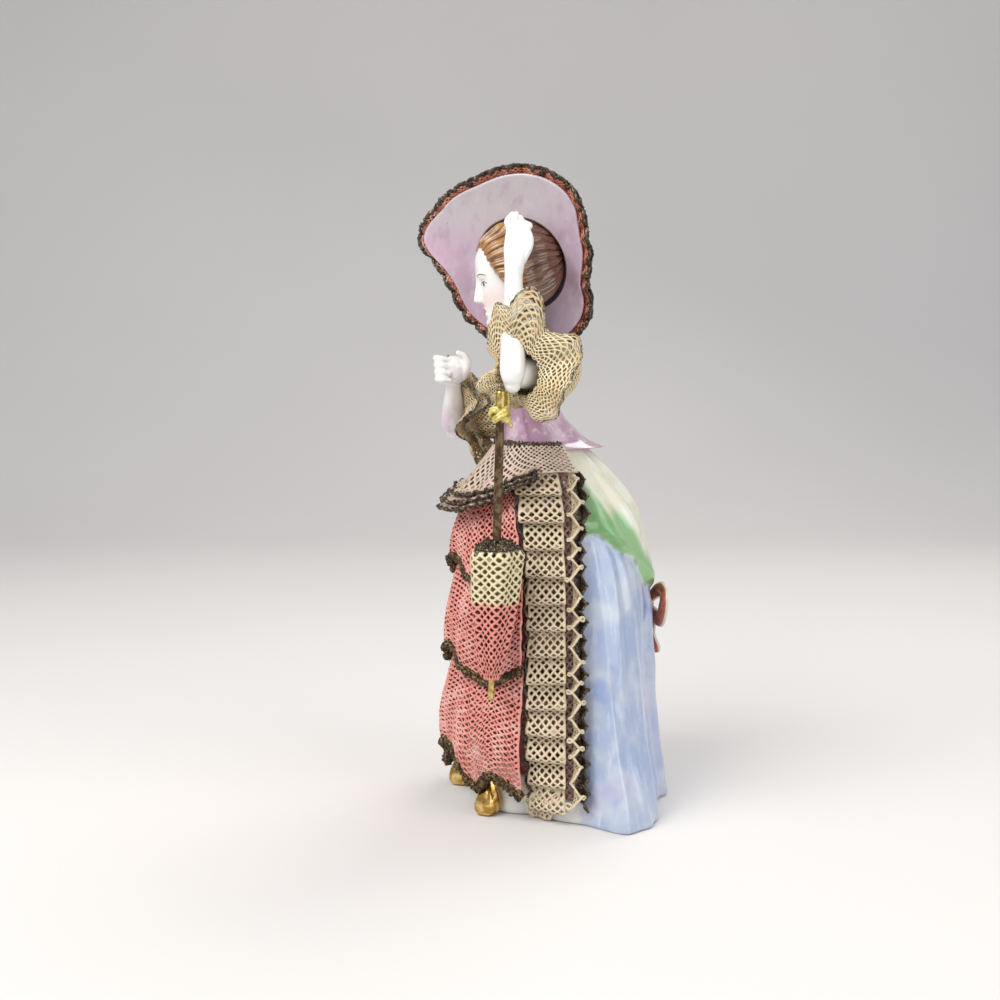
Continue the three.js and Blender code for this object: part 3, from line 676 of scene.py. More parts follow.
def gown(piece):
    """Gown: skirt radius plus the train's ridges, each a bump in angle whose centre leans and wavers with height,
    the drape's soft diagonal folds, a rolled hem, and a rounded edge at the foot."""
    columns = 460
    z = np.concatenate([[0, 0.25, 0.8], np.linspace(1.6, WAIST + 1, 172)])
    z, angle = np.meshgrid(z, np.arange(columns) / columns * 360, indexing="ij")
    turn = wrapped_turn(angle)
    radius = skirt_radius(angle, z)
    hem = drape_hem(turn) + 1.6 * ripple(5, angle / 9)
    on_train = smoothstep(hem + 2, hem - 8, z) * smoothstep(92, 100, turn)
    for k, (foot, top, height, width) in enumerate(TRAIN_RIDGES):
        middle = foot + (top - foot) * z / 90 + 1.2 * np.sin(z / 15 + 2.1 * k)
        flow = 0.55 + 0.45 * np.sin(z / 21 + 1.7 * k) ** 2
        radius += height * flow * bump(angle, middle, width, 0.7 * width) * on_train
    on_drape = smoothstep(hem, hem + 3, z) * smoothstep(86, 96, turn)
    fold = np.cos(FULL_TURN * (turn - 88) / 30 + (z - hem) / 11 + 0.8 * ripple(6, angle / 14, z / 14))
    radius += on_drape * 0.9 * fold * smoothstep(WAIST, WAIST - 16, z)
    radius += 0.7 * smoothstep(86, 92, turn) * bump(z, hem + 1.6, 1.6, 5)
    radius += 0.22 * ripple(7, angle / 6, z / 5, waves=12) * smoothstep(1.5, 6, z)
    base_curl = np.where(z < 1.6, 1 - np.sqrt(np.clip(1 - (1 - z / 1.6) ** 2, 0, 1)), 0) * 1.1
    radius -= base_curl
    rings = around_skirt(angle, z, radius)
    start = along(LADDER_START, z)
    end = along(LADDER_END, z)
    wander = 1.2 * ripple(8, angle / 5, z / 5)
    train = smoothstep(end - 3, end + 0.5, turn + 0.6 * wander)
    drape = smoothstep(hem - 0.3, hem + 0.5, z) * smoothstep(82, 85, turn)
    green_top = along([[82, 106], [100, 107], [125, 98], [150, 84], [180, 78]], turn) + 2.6 * ripple(9, angle / 7)
    green = smoothstep(green_top + 3.5, green_top - 3.5, z) * drape
    # Painted shade under the lace: rose marks the skirt under the pink tiers and brown marks the skirt under the cream
    # ladders, and the finish paints both dark so that the holes show shade.
    low = along(TIERS[2][2], np.minimum(turn, 54)) + 3.5 + wander
    laced = smoothstep(low, low + 2, z)
    rose = laced * smoothstep(start + 2, start - 1, turn)
    brown = smoothstep(start - 1, start + 2, turn) * smoothstep(end + 1, end - 2, turn) * smoothstep(9, 13, z + wander)
    seam = bump(z, hem - 0.2, 0.8) * smoothstep(92, 98, turn) * smoothstep(-0.2, 0.9, ripple(10, angle / 2))
    points, faces = closed_rings(rings)
    marks = {"train": train, "drape": drape, "green": green, "rose": rose, "brown": brown, "seam": 0.75 * seam}
    piece.add(points, faces, **{name: np.append(np.ravel(value), [0, 0]) for name, value in marks.items()})


BUST = [  # height, half width, front and back
    [119.2, 14.4, -19.0, 15.2], [121.5, 13, -18.4, 10.8], [125, 12.2, -18.2, 6.6], [129, 11.4, -18, 2.4],
    [134, 11.6, -18.8, 0], [140, 14.4, -20.8, 3.4], [146, 16, -19.5, 5.8], [150, 15, -16, 5],
    [153.5, 9, -13.5, 1], [157, 5.4, -14.5, -4.4], [164, 4.8, -16.5, -6.5], [168, 4.6, -17, -7],
]


def bust(piece):
    """Bodice, shoulders and neck: ovals between the stations, drawn in at seams that run from the waist to the
    shoulders, with the pointed tail of the bodice laid out over the drape behind."""
    stations = np.array(BUST, float)
    z, a = np.meshgrid(np.linspace(stations[0, 0], stations[-1, 0], 150), np.arange(180) / 180 * FULL_TURN,
                       indexing="ij")
    half, front, back = (along(stations[:, [0, k]], z) for k in (1, 2, 3))
    seams = sum(bump(wrapped_turn(a / DEGREE - at) / 3.2, 0, 1) for at in (38, 142, 218, 322, 90, 270))
    cloth = smoothstep(151, 149, z)
    draw = 1 - 0.022 * seams * cloth * smoothstep(121, 126, z)
    bosom = 1.5 * bump(z, 142.5, 4.2) * (bump(a / DEGREE, 248, 16) + bump(a / DEGREE, 292, 16))
    flare = 0.8 * smoothstep(121.5, 119.5, z)
    x = (half * draw + flare + bosom) * np.cos(a)
    y = (front + back) / 2 + ((back - front) / 2 * draw + flare + bosom) * np.sin(a)
    neckline = 150.5 + 1.5 * np.sin(a) ** 2
    skin = smoothstep(neckline, neckline + 0.6, z)
    # Painted shade on the bodice: a band below the sleeves and the seams, fading out towards the back.
    deep = np.clip(0.75 * bump(z, 131, 7) * (0.6 + 0.4 * ripple(12, a * 3, z / 5)) + 0.6 * seams, 0, 1)
    deep = deep * smoothstep(1.0, -0.3, np.sin(a))
    points, faces = closed_rings(np.stack([x, y, z], -1))
    piece.add(points, faces, skin=np.append(skin.ravel(), [0, 1]), deep=np.append(deep.ravel(), [0, 0]))


def head_turned():
    return np.array(Matrix.Rotation(-HEAD_TURN * DEGREE, 3, "Z") @ Matrix.Rotation(HEAD_NOD * DEGREE, 3, "X"))


def in_head(points):
    return points @ head_turned().T + array(*HEAD_CENTRE)


# Head in its own frame, by height: half width, front and back. Eyes lie half way down, and the nose ends half way
# from them to the chin
SKULL = [
    [-16.8, 1.6, -10.2, -4.0], [-16.2, 3.4, -11.8, -3.2], [-14.6, 5.2, -12.9, -1.6], [-12, 6.7, -13.1, 0.6],
    [-8, 8.1, -13.2, 3], [-4, 9.0, -13.3, 5], [0, 9.4, -13.5, 6], [4, 9.3, -13.4, 6.4], [8, 8.4, -12.2, 6],
    [11, 6.6, -9.6, 4.6], [13, 3.0, -5.8, 1.6],
]
EYE_ASIDE = 3.75
EYE_HEIGHT = -1.9


def face(piece):
    """Head: ovals between the skull's stations, and on the front a relief by place across and up: brow, sunk
    sockets with rounded lids, a narrow straight nose with small wings, closed lips, cheeks and chin."""
    stations = np.array(SKULL, float)
    lift = np.linspace(0, 1, 210)
    z = stations[0, 0] + (stations[-1, 0] - stations[0, 0]) * (0.5 - 0.5 * np.cos(np.pi * lift))
    z, a = np.meshgrid(z, np.arange(260) / 260 * FULL_TURN, indexing="ij")
    half, front, back = (along(stations[:, [0, k]], z) for k in (1, 2, 3))
    ahead = np.cos(a)
    x = half * np.sign(np.sin(a)) * np.abs(np.sin(a)) ** 0.92
    middle = (front + back) / 2
    y = middle - (middle - front) * np.where(ahead > 0, ahead, -ahead * (back - middle) / (middle - front) * -1)
    across = np.abs(x)
    nose = along([[-8.2, 0], [-7.5, 1.7], [-6.6, 2.7], [-5, 2.3], [-2, 1.2], [0.6, 0.35], [3, 0]], z)
    nose_width = along([[-8, 1.7], [-6.5, 1.5], [-4, 1.05], [0, 0.95], [3, 1.2]], z)
    relief = nose * np.exp(-(across / nose_width) ** 2)
    relief += 0.75 * np.exp(-((across - 1.5) / 0.65) ** 2 - ((z + 6.9) / 0.75) ** 2)
    relief -= 1.15 * np.exp(-((across - 3.6) / 2.5) ** 2 - ((z - EYE_HEIGHT) / 1.9) ** 2)
    relief += 0.75 * np.exp(-((across - EYE_ASIDE) / 1.7) ** 2 - ((z - EYE_HEIGHT) / 1.05) ** 2)
    relief += 0.35 * np.exp(-((across - 3.6) / 3.0) ** 2 - ((z - 1.2) / 1.1) ** 2)
    relief += 0.45 * np.exp(-((across - 5.0) / 2.4) ** 2 - ((z + 7.0) / 2.8) ** 2)
    lip_edge = np.clip(1 - (across / 2.7) ** 2, 0, 1)
    relief += 0.6 * lip_edge * (np.exp(-((z + 10.0) / 0.55) ** 2) + 1.1 * np.exp(-((z + 11.5) / 0.65) ** 2))
    relief -= 0.3 * lip_edge * np.exp(-((z + 10.75) / 0.28) ** 2)
    relief -= 0.3 * np.exp(-(across / 2.2) ** 2 - ((z + 12.9) / 0.8) ** 2)
    relief += 0.55 * np.exp(-(across / 2.2) ** 2 - ((z + 14.8) / 1.3) ** 2)
    y -= relief * np.clip(ahead, 0, 1) ** 0.5
    points, faces = closed_rings(np.stack([x, y, z], -1))
    piece.add(in_head(points), faces)


def face_finish(paint):
    """White glaze with painted features, placed in the head's own frame: brows, lids, irises, lips and a faint
    blush."""
    finish, shader, place = new_finish("painted_face", Coat_Weight=0.8, Coat_Roughness=0.05)
    rotation = Matrix(head_turned()).to_euler()
    local = place.add("ShaderNodeMapping", {"vector_type": "TEXTURE"}, Vector=place, Rotation=rotation,
                      Location=[c * MM for c in HEAD_CENTRE], Scale=(MM, MM, MM))
    x, y, z = (local.add("ShaderNodeSeparateXYZ", None, k, Vector=local) for k in range(3))
    across = abs(x)
    ahead = y.rise(-4, -7)

    def spot(aside, height, wide, tall, softness=0.25):
        """Ellipse on the face, 1 inside."""
        distance = (((across - aside) / wide) ** 2 + ((z - height) / tall) ** 2) ** 0.5
        return distance.rise(1 + softness, 1 - softness) * ahead

    def arc(aside, height, curve, wide, thin):
        """Curved stroke: a parabola over an aside place, as wide as said, thin at its ends."""
        offset = across - aside
        span = 1 - (abs(offset) / wide).rise(0.75, 1.0)
        line = abs(z - height + curve * offset * offset)
        return (line / thin).rise(1.3, 0.5) * span * ahead

    white = rgb((0.83, 0.82, 0.79))
    colour = (spot(5.2, -6.6, 3.4, 2.8, 0.95) * 0.4).mix(white, rgb((0.80, 0.42, 0.38)))
    lid = spot(EYE_ASIDE, EYE_HEIGHT, 1.75, 0.85)
    colour = lid.mix(colour, rgb((0.78, 0.82, 0.86)))
    colour = (spot(EYE_ASIDE, EYE_HEIGHT + 0.05, 0.72, 0.78) * lid).mix(colour, rgb(paint.eye_blue))
    colour = (spot(EYE_ASIDE, EYE_HEIGHT + 0.05, 0.34, 0.36) * lid).mix(colour, rgb((0.01, 0.012, 0.02)))
    # Painted highlight: a small white dot on each iris, as the glint of a light.
    colour = spot(EYE_ASIDE - 0.22, EYE_HEIGHT + 0.32, 0.14, 0.14).mix(colour, rgb((0.9, 0.9, 0.9)))
    colour = arc(EYE_ASIDE, EYE_HEIGHT + 0.88, 0.26, 2.1, 0.2).mix(colour, rgb((0.06, 0.03, 0.02)))
    colour = (arc(EYE_ASIDE, EYE_HEIGHT + 1.6, 0.2, 1.9, 0.14) * 0.5).mix(colour, rgb((0.42, 0.22, 0.16)))
    colour = arc(EYE_ASIDE + 0.15, EYE_HEIGHT + 3.4, 0.15, 2.5, 0.24).mix(colour, rgb((0.24, 0.12, 0.05)))
    lips = spot(0, -10.1, 2.2, 0.62) + spot(0, -11.35, 1.7, 0.72)
    colour = lips.rise(0.1, 0.9).mix(colour, rgb((0.62, 0.16, 0.14)))
    colour = (arc(0, -10.75, -0.02, 2.3, 0.16) * 0.8).mix(colour, rgb((0.30, 0.05, 0.05)))
    glazed(shader, place, colour, 0.12, 0.2)
    return finish


def hair(piece):
    """Hair combed back from the face: an ellipsoid whose reach swells into a roll round the hairline, falls behind
    the face inside it, and is carved by locks that keep one angle about the head's front-to-back line."""
    lift = np.linspace(-89, 89, 230)[:, None] * DEGREE
    around = (np.arange(340) / 340 * FULL_TURN)[None]
    # rings run about the front-to-back line, from the face to the back of the head
    dx, dy, dz = np.broadcast_arrays(np.cos(lift) * np.sin(around), np.sin(lift), np.cos(lift) * np.cos(around))
    x, y, z = 13.0 * dx, 13.6 * dy, 14.4 * dz
    opening = np.hypot(x / 8.9, (z + 7.4) / 13.2)
    ahead = smoothstep(1.5, -2.5, y)
    roll = 2.2 * bump(opening, 1.22, 0.2, 0.32) * ahead * smoothstep(-16, 2, z)
    sunk = 5.5 * smoothstep(1.06, 0.86, opening) * ahead
    warp = 0.5 * ripple(21, dx * 3, dy * 3, dz * 3)
    lock = np.abs(np.sin(11 * around / 1.0 + 1.6 * dy + 2 * warp)) ** 0.6
    fine = np.cos(61 * around + 5 * warp + 3 * dy)
    wave = np.cos(7 * dy + 3 * np.cos(2 * around) + 2 * warp)
    reach = 1 + (roll - sunk - 0.9 * (1 - lock) + 0.16 * fine + 0.3 * wave * smoothstep(1.1, 1.5, opening)) / 13.5
    points, faces = closed_rings(np.stack([x * reach, y * reach, z * reach], -1) + array(0, 2.4, 2))
    # Painted shade: the lock value is low in the grooves between the locks, which the finish paints dark, and the
    # second value rises towards the back of the head, which it paints dark too.
    shade = np.clip(0.75 * lock + 0.22 * fine + 0.15 * wave, 0, 1)
    piece.add(in_head(points), faces, lock=np.append(shade.ravel(), [0.5, 0.5]),
              rear=np.append(smoothstep(-5, 2, y).ravel(), [0, 1]))


def hair_finish(paint):
    """Golden brown glaze, with painted shade between the locks and towards the back of the head."""
    finish, shader, place = new_finish("painted_hair", Coat_Weight=0.8, Coat_Roughness=0.08)
    lock = (place.mark("lock") + 0.4 * (place.noise(1.4, 2) - 0.5)).rise(0.1, 0.9)
    front = lock.mix(rgb((0.09, 0.03, 0.01)), rgb(paint.hair_gold))
    # painted shade: the back of the hair is painted dark
    colour = (place.mark("rear") * 0.85).mix(front, rgb((0.10, 0.035, 0.018)))
    feed(shader, Base_Color=colour, Roughness=0.2 + 0.15 * place.noise(2, 2),
         Normal=bumped(place.noise(0.8, 2), 0.2, 0.1))
    return finish


def blend_points(start, end, share):
    return array(*start) + (array(*end) - array(*start)) * share


def raised_arm(piece):
    """Left arm: upper arm, forearm and hand as tubes, and four fingers held together, the first the longest."""
    elbow, wrist, palm, knuckles, tips = map(
        lambda p: array(*p), (LEFT_ELBOW, LEFT_WRIST, LEFT_PALM, LEFT_KNUCKLES, LEFT_TIPS))
    shoulder = array(11, -5, 146)
    piece.add(*limb([shoulder, blend_points(SHOULDER, elbow, 0.5), blend_points(elbow, SHOULDER, 0.1), elbow],
                    [8.2, 5.8, 4.4, 3], flat=(0, 1, 0)))
    piece.add(*limb([elbow + array(0, 0, -3), elbow + array(0, 0, 2), blend_points(elbow, wrist, 0.45), wrist],
                    [2.6, 3.9, 3.5, 2.7], flat=(0, 1, 0)))
    hand_flat = (1, -0.4, 0.3)
    piece.add(*limb([blend_points(wrist, elbow, 0.08), blend_points(wrist, palm, 0.4), palm, knuckles],
                    [[2.75, 2.55], [3.3, 2.3], [3.9, 1.9], [3.6, 1.6]], flat=hand_flat))
    for finger in range(4):
        aside = array(0.3, 1.75, 0) * (finger - 1.5)
        reach = [1, 1.02, 0.78, 0.45][finger]
        root = blend_points(palm, knuckles, 0.5) + aside
        tip = blend_points(knuckles, tips, reach) + aside * 0.8
        bend = (knuckles + tip) / 2 + aside * 0.95 - aside * 0.9 + array(0.35, 0, 0)
        piece.add(*limb([root, knuckles + aside, bend + aside * 0.9, tip],
                        [1.15, 1.12, 1.02, 0.72], sides=18, flat=hand_flat, rows=26))
    piece.add(*limb([blend_points(wrist, palm, 0.4) + array(0.4, 2.0, 0), palm + array(0.8, 3.9, 0.4),
                     palm + array(0.6, 4.3, 3.2), palm + array(0.2, 3.9, 5.6)],
                    [1.6, 1.35, 1.15, 0.75], sides=18, flat=hand_flat, rows=26))


def bent_arm(piece):
    """Right arm: upper arm and forearm as tubes, and a loosely closed fist with curled fingers."""
    elbow, wrist, fist = (array(*p) for p in (RIGHT_ELBOW, RIGHT_WRIST, RIGHT_FIST))
    shoulder = array(-16, -5, 146)
    piece.add(*limb([array(-11, -5, 146), blend_points(shoulder, elbow, 0.5), blend_points(elbow, shoulder, 0.1),
                     elbow], [8.2, 6, 4.8, 3.4], flat=(0, 1, 0)))
    piece.add(*limb([elbow + array(-2.5, 0.5, -1.5), blend_points(elbow, wrist, 0.15),
                     blend_points(elbow, wrist, 0.55), wrist, blend_points(wrist, fist, 0.6)],
                    [3.2, 4.8, 4, 2.8, 3.0], flat=(0, 1, 0)))
    piece.add(*ellipsoid(fist + array(0, 0.4, 0), (3.4, 4.9, 5.0)))
    for finger in range(4):
        up = array(-2.6 + finger * 0.7, 0.4, 3.6 - finger * 2.25)
        knuckle = fist + up + array(-0.4, -3.4, 0)
        bend = knuckle + array(1.6, -2.1, 0.5)
        curl = knuckle + array(4.2, -1.2, 0.3)
        tuck = knuckle + array(4.6, 1.2, -0.2)
        piece.add(*limb([knuckle + array(-1.6, 2.6, -0.4), knuckle, bend, curl, tuck],
                        [1.3, 1.38, 1.3, 1.15, 0.9], sides=18, flat=(0, 0, 1), rows=30))
    piece.add(*limb([fist + array(0.6, 3.2, -1.6), fist + array(2.2, 4.6, 1.6), fist + array(2.6, 3.6, 4.6),
                     fist + array(2.8, 1.4, 6.0)], [2.0, 1.7, 1.3, 0.85], sides=18, flat=(1, 0, 0), rows=26))


def shoes(piece):
    """Gilt shoe tips: a round toe that draws up into a drop's point against the skirt."""
    for side in (1, -1):
        z, a = np.meshgrid(np.linspace(0, 1, 44), np.arange(48) / 48 * FULL_TURN, indexing="ij")
        reach = 4.4 * np.sin(np.pi * np.clip(z, 0.002, 1) ** 0.62) ** 0.75 * (1 - 0.25 * z)
        reach = np.maximum(reach, 0.05) * (1 + 0.05 * np.cos(a * 5 + 3 * z))
        height = np.maximum(13.6 * z - 0.6, 0.0)
        rings = np.stack([16.2 * side + reach * np.cos(a), -29.3 + 1.4 * z + 1.1 * reach * np.sin(a), height], -1)
        piece.add(*closed_rings(rings))


def bow_ribbons(piece):
    """Bow: loops, tails and a knot of thick ribbon, each a flattened tube with rolled edges along its path."""
    z = 64
    back = float(on_skirt(np.array(180.0), np.array(float(z)))[1]) + 1.6

    def ribbon(path, widths, finish):
        """Tube through the path whose section is a flat oval with raised rims."""
        points = np.array([[x, back + y, z + dz] for x, y, dz in path])
        tube, faces = limb(points, [[w, 0.9] for w in widths], sides=32, flat=(0, 1, 0), rows=60)
        rim = np.tile(np.abs(np.cos(np.arange(32) / 32 * FULL_TURN)), (len(tube) - 2) // 32)
        normal = np.zeros_like(tube)
        normal[:-2, 1] = smoothstep(0.8, 0.97, rim) * 0.5
        piece.add(tube + normal, faces, finish, rim=np.append(smoothstep(0.84, 0.93, rim), [0, 0]))

    for side in (1, -1):
        ribbon([(1.2 * side, 0.6, 0.4), (6 * side, 2.4, 5.2), (11.5 * side, 2.2, 5.6), (14 * side, 1.2, 1.4),
                (11 * side, 1.2, -3.6), (5.4 * side, 1.0, -2.6), (1.2 * side, 0.6, -0.6)],
               [1.6, 2.6, 3.0, 2.9, 2.9, 2.5, 1.6], 0)
        ribbon([(1.4 * side, 0.4, -1), (3.6 * side, 1.6, -5), (5.2 * side, 0.6, -10), (7.4 * side, 1.6, -14.5)],
               [1.6, 2.6, 2.9, 2.6], 0)
    knot, faces = ellipsoid((0, back + 1.4, z), (3.1, 2.3, 3.5))
    piece.add(knot, faces, 0, rim=0.0)


def bow_finish(paint):
    """Orange glaze that pools darker, with pale cream edges."""
    finish, shader, place = new_finish("orange_bow", Coat_Weight=0.8, Coat_Roughness=0.05)
    pool = place.noise(2.6, 3).rise(0.35, 0.65)
    orange = pool.mix(rgb((0.36, 0.055, 0.012)), rgb(paint.bow_orange))
    edge = (place.mark("rim") + 0.3 * (place.noise(1.2, 2) - 0.5)).rise(0.35, 0.75)
    glazed(shader, place, edge.mix(orange, rgb((0.74, 0.66, 0.54))), 0.14)
    return finish


# The hat

def hat_point(forward, upward, back):
    forward, upward, back = np.broadcast_arrays(forward, upward, back)
    return array(*HAT_CENTRE) + forward[..., None] * HAT_FRONT + upward[..., None] * HAT_UP \
        + back[..., None] * HAT_BACK


def rim_radius(u):
    """Rim's radius once round from the front, with the slight unevenness of hand-worked clay."""
    return along(RIM_REACH, (u * 360 + 540) % 360 - 180) + 0.25 * np.cos(FULL_TURN * 9 * u + 1)


def brim_point(u, v):
    """Brim from the head, at v 0, to its rim, at v 1."""
    inner = CROWN_RADIUS - 1.5
    r = inner + (rim_radius(u) - inner) * v
    return hat_point(r * np.cos(FULL_TURN * u), r * np.sin(FULL_TURN * u), BRIM_DISH * (1 - v * v))


def hat_body(piece):
    """Hat: one closed profile carried round: up the inside of the crown's wall, out along the brim's face side,
    round the rim, back along its other side and over the domed crown."""
    u = (np.arange(200) / 200)[None]
    half = HAT_WALL / 2
    rows = []
    lean = np.linspace(88, 4, 16) * DEGREE
    for a in lean:
        rows.append(((CROWN_RADIUS * np.cos(a) + 0 * u), 1.0 + 16.6 * np.sin(a) + 0 * u, 0.0))
    inner = CROWN_RADIUS - 1.5
    rim = rim_radius(u)
    for v in np.linspace(0, 1, 22):
        r = inner + (rim - inner) * v
        wave = 0.3 * np.sin(FULL_TURN * 3 * u + 1) * v * v
        rows.append((r, BRIM_DISH * (1 - v * v) - half * (1 - 0.35 * v ** 6) + wave, 1.0))
    for a in np.linspace(-60, 60, 5) * DEGREE:
        wave = 0.3 * np.sin(FULL_TURN * 3 * u + 1)
        rows.append((rim + 0.45 * np.cos(a), 0.55 * np.sin(a) + wave, 0.6))
    crown = CROWN_RADIUS + HAT_WALL
    for v in np.linspace(1, 0.02, 20):
        r = crown + 0.6 + (rim - crown - 0.6) * v
        wave = 0.3 * np.sin(FULL_TURN * 3 * u + 1) * v * v
        rows.append((r, BRIM_DISH * (1 - v * v) + half * (1 - 0.35 * v ** 6) + wave, 0.0))
    for a in np.linspace(2, 88, 34) * DEGREE:
        dent = 0.35 * np.cos(FULL_TURN * 6 * u + 2 * a) * np.cos(a)
        rows.append((crown * np.cos(a) ** 0.85 + dent, 3.6 + (CROWN_HEIGHT - 3.6) * np.sin(a) + 0 * u, 0.0))
    r = np.stack([np.broadcast_to(row[0], u.shape)[0] for row in rows])
    back = np.stack([np.broadcast_to(row[1], u.shape)[0] for row in rows])
    inside = np.repeat(np.array([row[2] for row in rows]), u.shape[1])
    rings = hat_point(r * np.cos(FULL_TURN * u), r * np.sin(FULL_TURN * u), back)
    points, faces = closed_rings(rings)
    piece.add(points, faces, inside=np.append(inside, [0, 0]))


def hat_finish(paint):
    """Thin lilac glaze brushed over white, in streaks that run round the brim, greyer at the top and pinker at
    the front, with dark specks."""
    finish, shader, place = new_finish("hat_lilac", Coat_Weight=0.55, Coat_Roughness=0.1)
    fan = place.stretched(0.5, 1, 0.35).noise(3.2, 4, 0.65)
    wash = place.noise(12, 3)
    colour = wash.rise(0.38, 0.62).mix(rgb(paint.hat_lilac), rgb((0.52, 0.40, 0.50)))
    height = place.add("ShaderNodeSeparateXYZ", None, 2, Vector=place)
    ahead = place.add("ShaderNodeSeparateXYZ", None, 1, Vector=place)
    grey = height.rise(0.186, 0.197) * ahead.rise(0.008, -0.016)
    colour = (grey * 0.8).mix(colour, rgb((0.56, 0.53, 0.55)))
    pink = ahead.rise(-0.022, -0.040) * height.rise(0.196, 0.182)
    colour = (pink * 0.6).mix(colour, rgb((0.66, 0.42, 0.55)))
    colour = (fan.rise(0.5, 0.7) * 0.45).mix(colour, rgb((0.40, 0.24, 0.34)))
    colour = (fan.rise(0.46, 0.3) * 0.35).mix(colour, rgb((0.68, 0.60, 0.66)))
    glazed(shader, place, colour, 0.3, 0.6)
    return finish


def ruffle(base, side, out, waves, sway, curl, reach, seed):
    """Surface of a ruffled strip sewn along a base curve: from its sewn edge, at t 0, it stands out by its reach,
    and its free edge, at t 1, meanders sideways as a sine and along the curve as a sine of twice the pace, so that
    it folds back on itself in loops."""
    def surface(s, t):
        pace = s * FULL_TURN * waves + 0.9 * ripple(seed, s * waves * 1.4)
        opened = np.clip(t, 0, 1) ** 0.75
        size = 1 + 0.28 * ripple(seed + 1, s * waves * 1.7)
        step = 1e-3
        forward = unit(base(s + step) - base(s - step))
        return base(s) + side(s) * (sway * size * opened * np.sin(pace))[..., None] \
            + forward * (curl * size * opened * np.sin(2 * pace))[..., None] \
            + out(s) * (reach * t * (1 + 0.12 * np.cos(2 * pace)))[..., None]
    return surface


def hat_frill(piece):
    """Frill: two ruffled strips of net round the rim's far side, bunched unevenly, with crumbly dark edges."""
    for layer, (start, reach, waves) in enumerate([(0.90, 4.4, 27), (0.80, 5.2, 22)]):
        def base(s, start=start, layer=layer):
            return brim_point(s, start) + HAT_BACK * (1.5 + 1.3 * layer)

        def outward(s):
            return unit(brim_point(s, np.ones_like(s)) - brim_point(s, np.full_like(s, 0.8)))

        def side(s):
            return np.broadcast_to(HAT_BACK, s.shape + (3,))

        surface = ruffle(base, side, outward, waves, 1.5, 0.9, reach, 40 + layer)
        points, faces, marks = net(surface, 480, 8, 50 + layer, wrapped=True, strand=0.5, crest=0.4, clogged=0.25,
                                   hem=lambda s, t: 0.15 + 0.75 * smoothstep(0.6, 1, t))
        piece.add(points, faces, 0, **marks)
        path, normal = edge_of(surface, 900)
        points, faces = crumbs(path, normal, 0.42, 60 + layer, sides=6, rough=0.3)
        piece.add(points, faces, 0, hem=0.9, crest=0.5)


# Lace

def tier_surface(top, hem, stand_off, folds, seed):
    """Tier: hangs from its top to its hem, bellies out from the skirt, and is pleated in uneven folds that fan out
    from where the lace is caught up."""
    def surface(u, v):
        share = 2 * u - 1
        edge = along(LADDER_START, top) - 1.5
        low = along(hem, np.abs(share) * edge)
        z = top + (low - top) * v
        angle = share * (along(LADDER_START, z) - 1.5)
        belly = stand_off * np.sin(np.minimum(v, 1) * 0.62 * np.pi) ** 1.3
        broad = 0.9 * v * np.cos(share * np.pi * folds + 1.5 * v)
        fan = share * np.pi * folds * 2.6 * (1.25 - 0.5 * v) + 2.4 * v + 0.9 * ripple(seed, share * 6, v * 2)
        pleat = (np.abs(np.sin(fan)) ** 0.7 - 0.6) * 1.15 * smoothstep(0.0, 0.35, v) * (1 - 0.35 * v)
        return on_skirt(angle, z, 1.45 + belly * (1 - 0.15 * np.abs(share)) + broad + pleat)
    return surface


def tier(piece, lace, index):
    """One tier of fine pink net with its dark crumbled hem."""
    _, top, hem, stand_off, folds = TIERS[index]
    surface = tier_surface(top, hem, stand_off, folds, 70 + index)
    step = lace.fine_pitch / MM / np.sqrt(2)
    across = 62 / step
    down = (top - np.mean([h for _, h in hem]) + 5) / step
    points, faces, marks = net(surface, across, down, 80 + index, strand=0.46, crest=0.3, rim=0.12,
                               clogged=lace.clogged, hem=lambda s, t: 0.9 * smoothstep(0.9, 1.0, t))
    piece.add(points, faces, 0, **marks)
    for k, (t, radius) in enumerate([(1.0, 0.95), (0.975, 0.75), (1.0, 0.8)]):
        path, normal = edge_of(surface, 240, t, lift=-0.5 + 0.6 * k)
        points, faces = crumbs(path, normal, radius * (1 + 0.25 * (index == 2)), 90 + 4 * index + k, rough=0.34)
        piece.add(points, faces, 1, hem=1.0, crest=0.6)


def ladder_rungs(side, seed):
    """Rungs: one strip pleated into bands that swell out, hang over and tuck back under themselves, with lens
    shaped gaps where a band is narrower in its middle."""
    rng = np.random.default_rng(seed)
    lens = rng.uniform(0.0, 1.5, RUNGS + 2)
    tilt = rng.uniform(-0.12, 0.12, RUNGS + 2)

    def surface(u, v):
        t = v * RUNGS
        index = np.clip(t.astype(int), 0, RUNGS)
        share = t - np.floor(t)
        slim = 0.75 + lens[index] * np.clip(1 - (2 * u - 0.9) ** 2, 0, 1)
        band = np.clip(0.5 - 0.5 * np.cos(FULL_TURN * share), 0, 1) ** slim
        hang = np.sin(FULL_TURN * (share - 0.25)) / FULL_TURN + 1 / FULL_TURN
        depth = (t + 0.9 * hang + tilt[index] * (u - 0.5) * band) / RUNGS
        z = LADDER_TOP + (LADDER_FOOT - LADDER_TOP) * np.clip(depth, 0, 1.01)
        start, end = along(LADDER_START, z), along(LADDER_END, z)
        angle = start + (end - start) * (0.02 + 0.66 * u)
        stand_off = 1.3 + 3.3 * band * (0.75 + 0.25 * np.sin(np.pi * u)) + 0.25 * ripple(seed, u * 9, t * 2)
        return on_skirt(side * angle, z, stand_off)
    return surface


def ladder_frill(side, share, sway, curl, reach, waves, seed):
    """Ruffled strip down the ladder at a share of its width."""
    def at(s, offset=0.0, stand_off=0.9):
        z = LADDER_TOP - 1 + (LADDER_FOOT + 4 - LADDER_TOP) * s
        start, end = along(LADDER_START, z), along(LADDER_END, z)
        return on_skirt(side * (start + (end - start) * (share + offset)), z, stand_off)

    def across(s):
        return unit(at(s, 0.05) - at(s, -0.05))

    def outward(s):
        return unit(at(s, 0.0, 2.0) - at(s, 0.0, 0.0))

    return ruffle(at, across, outward, waves, sway, curl, reach, seed)


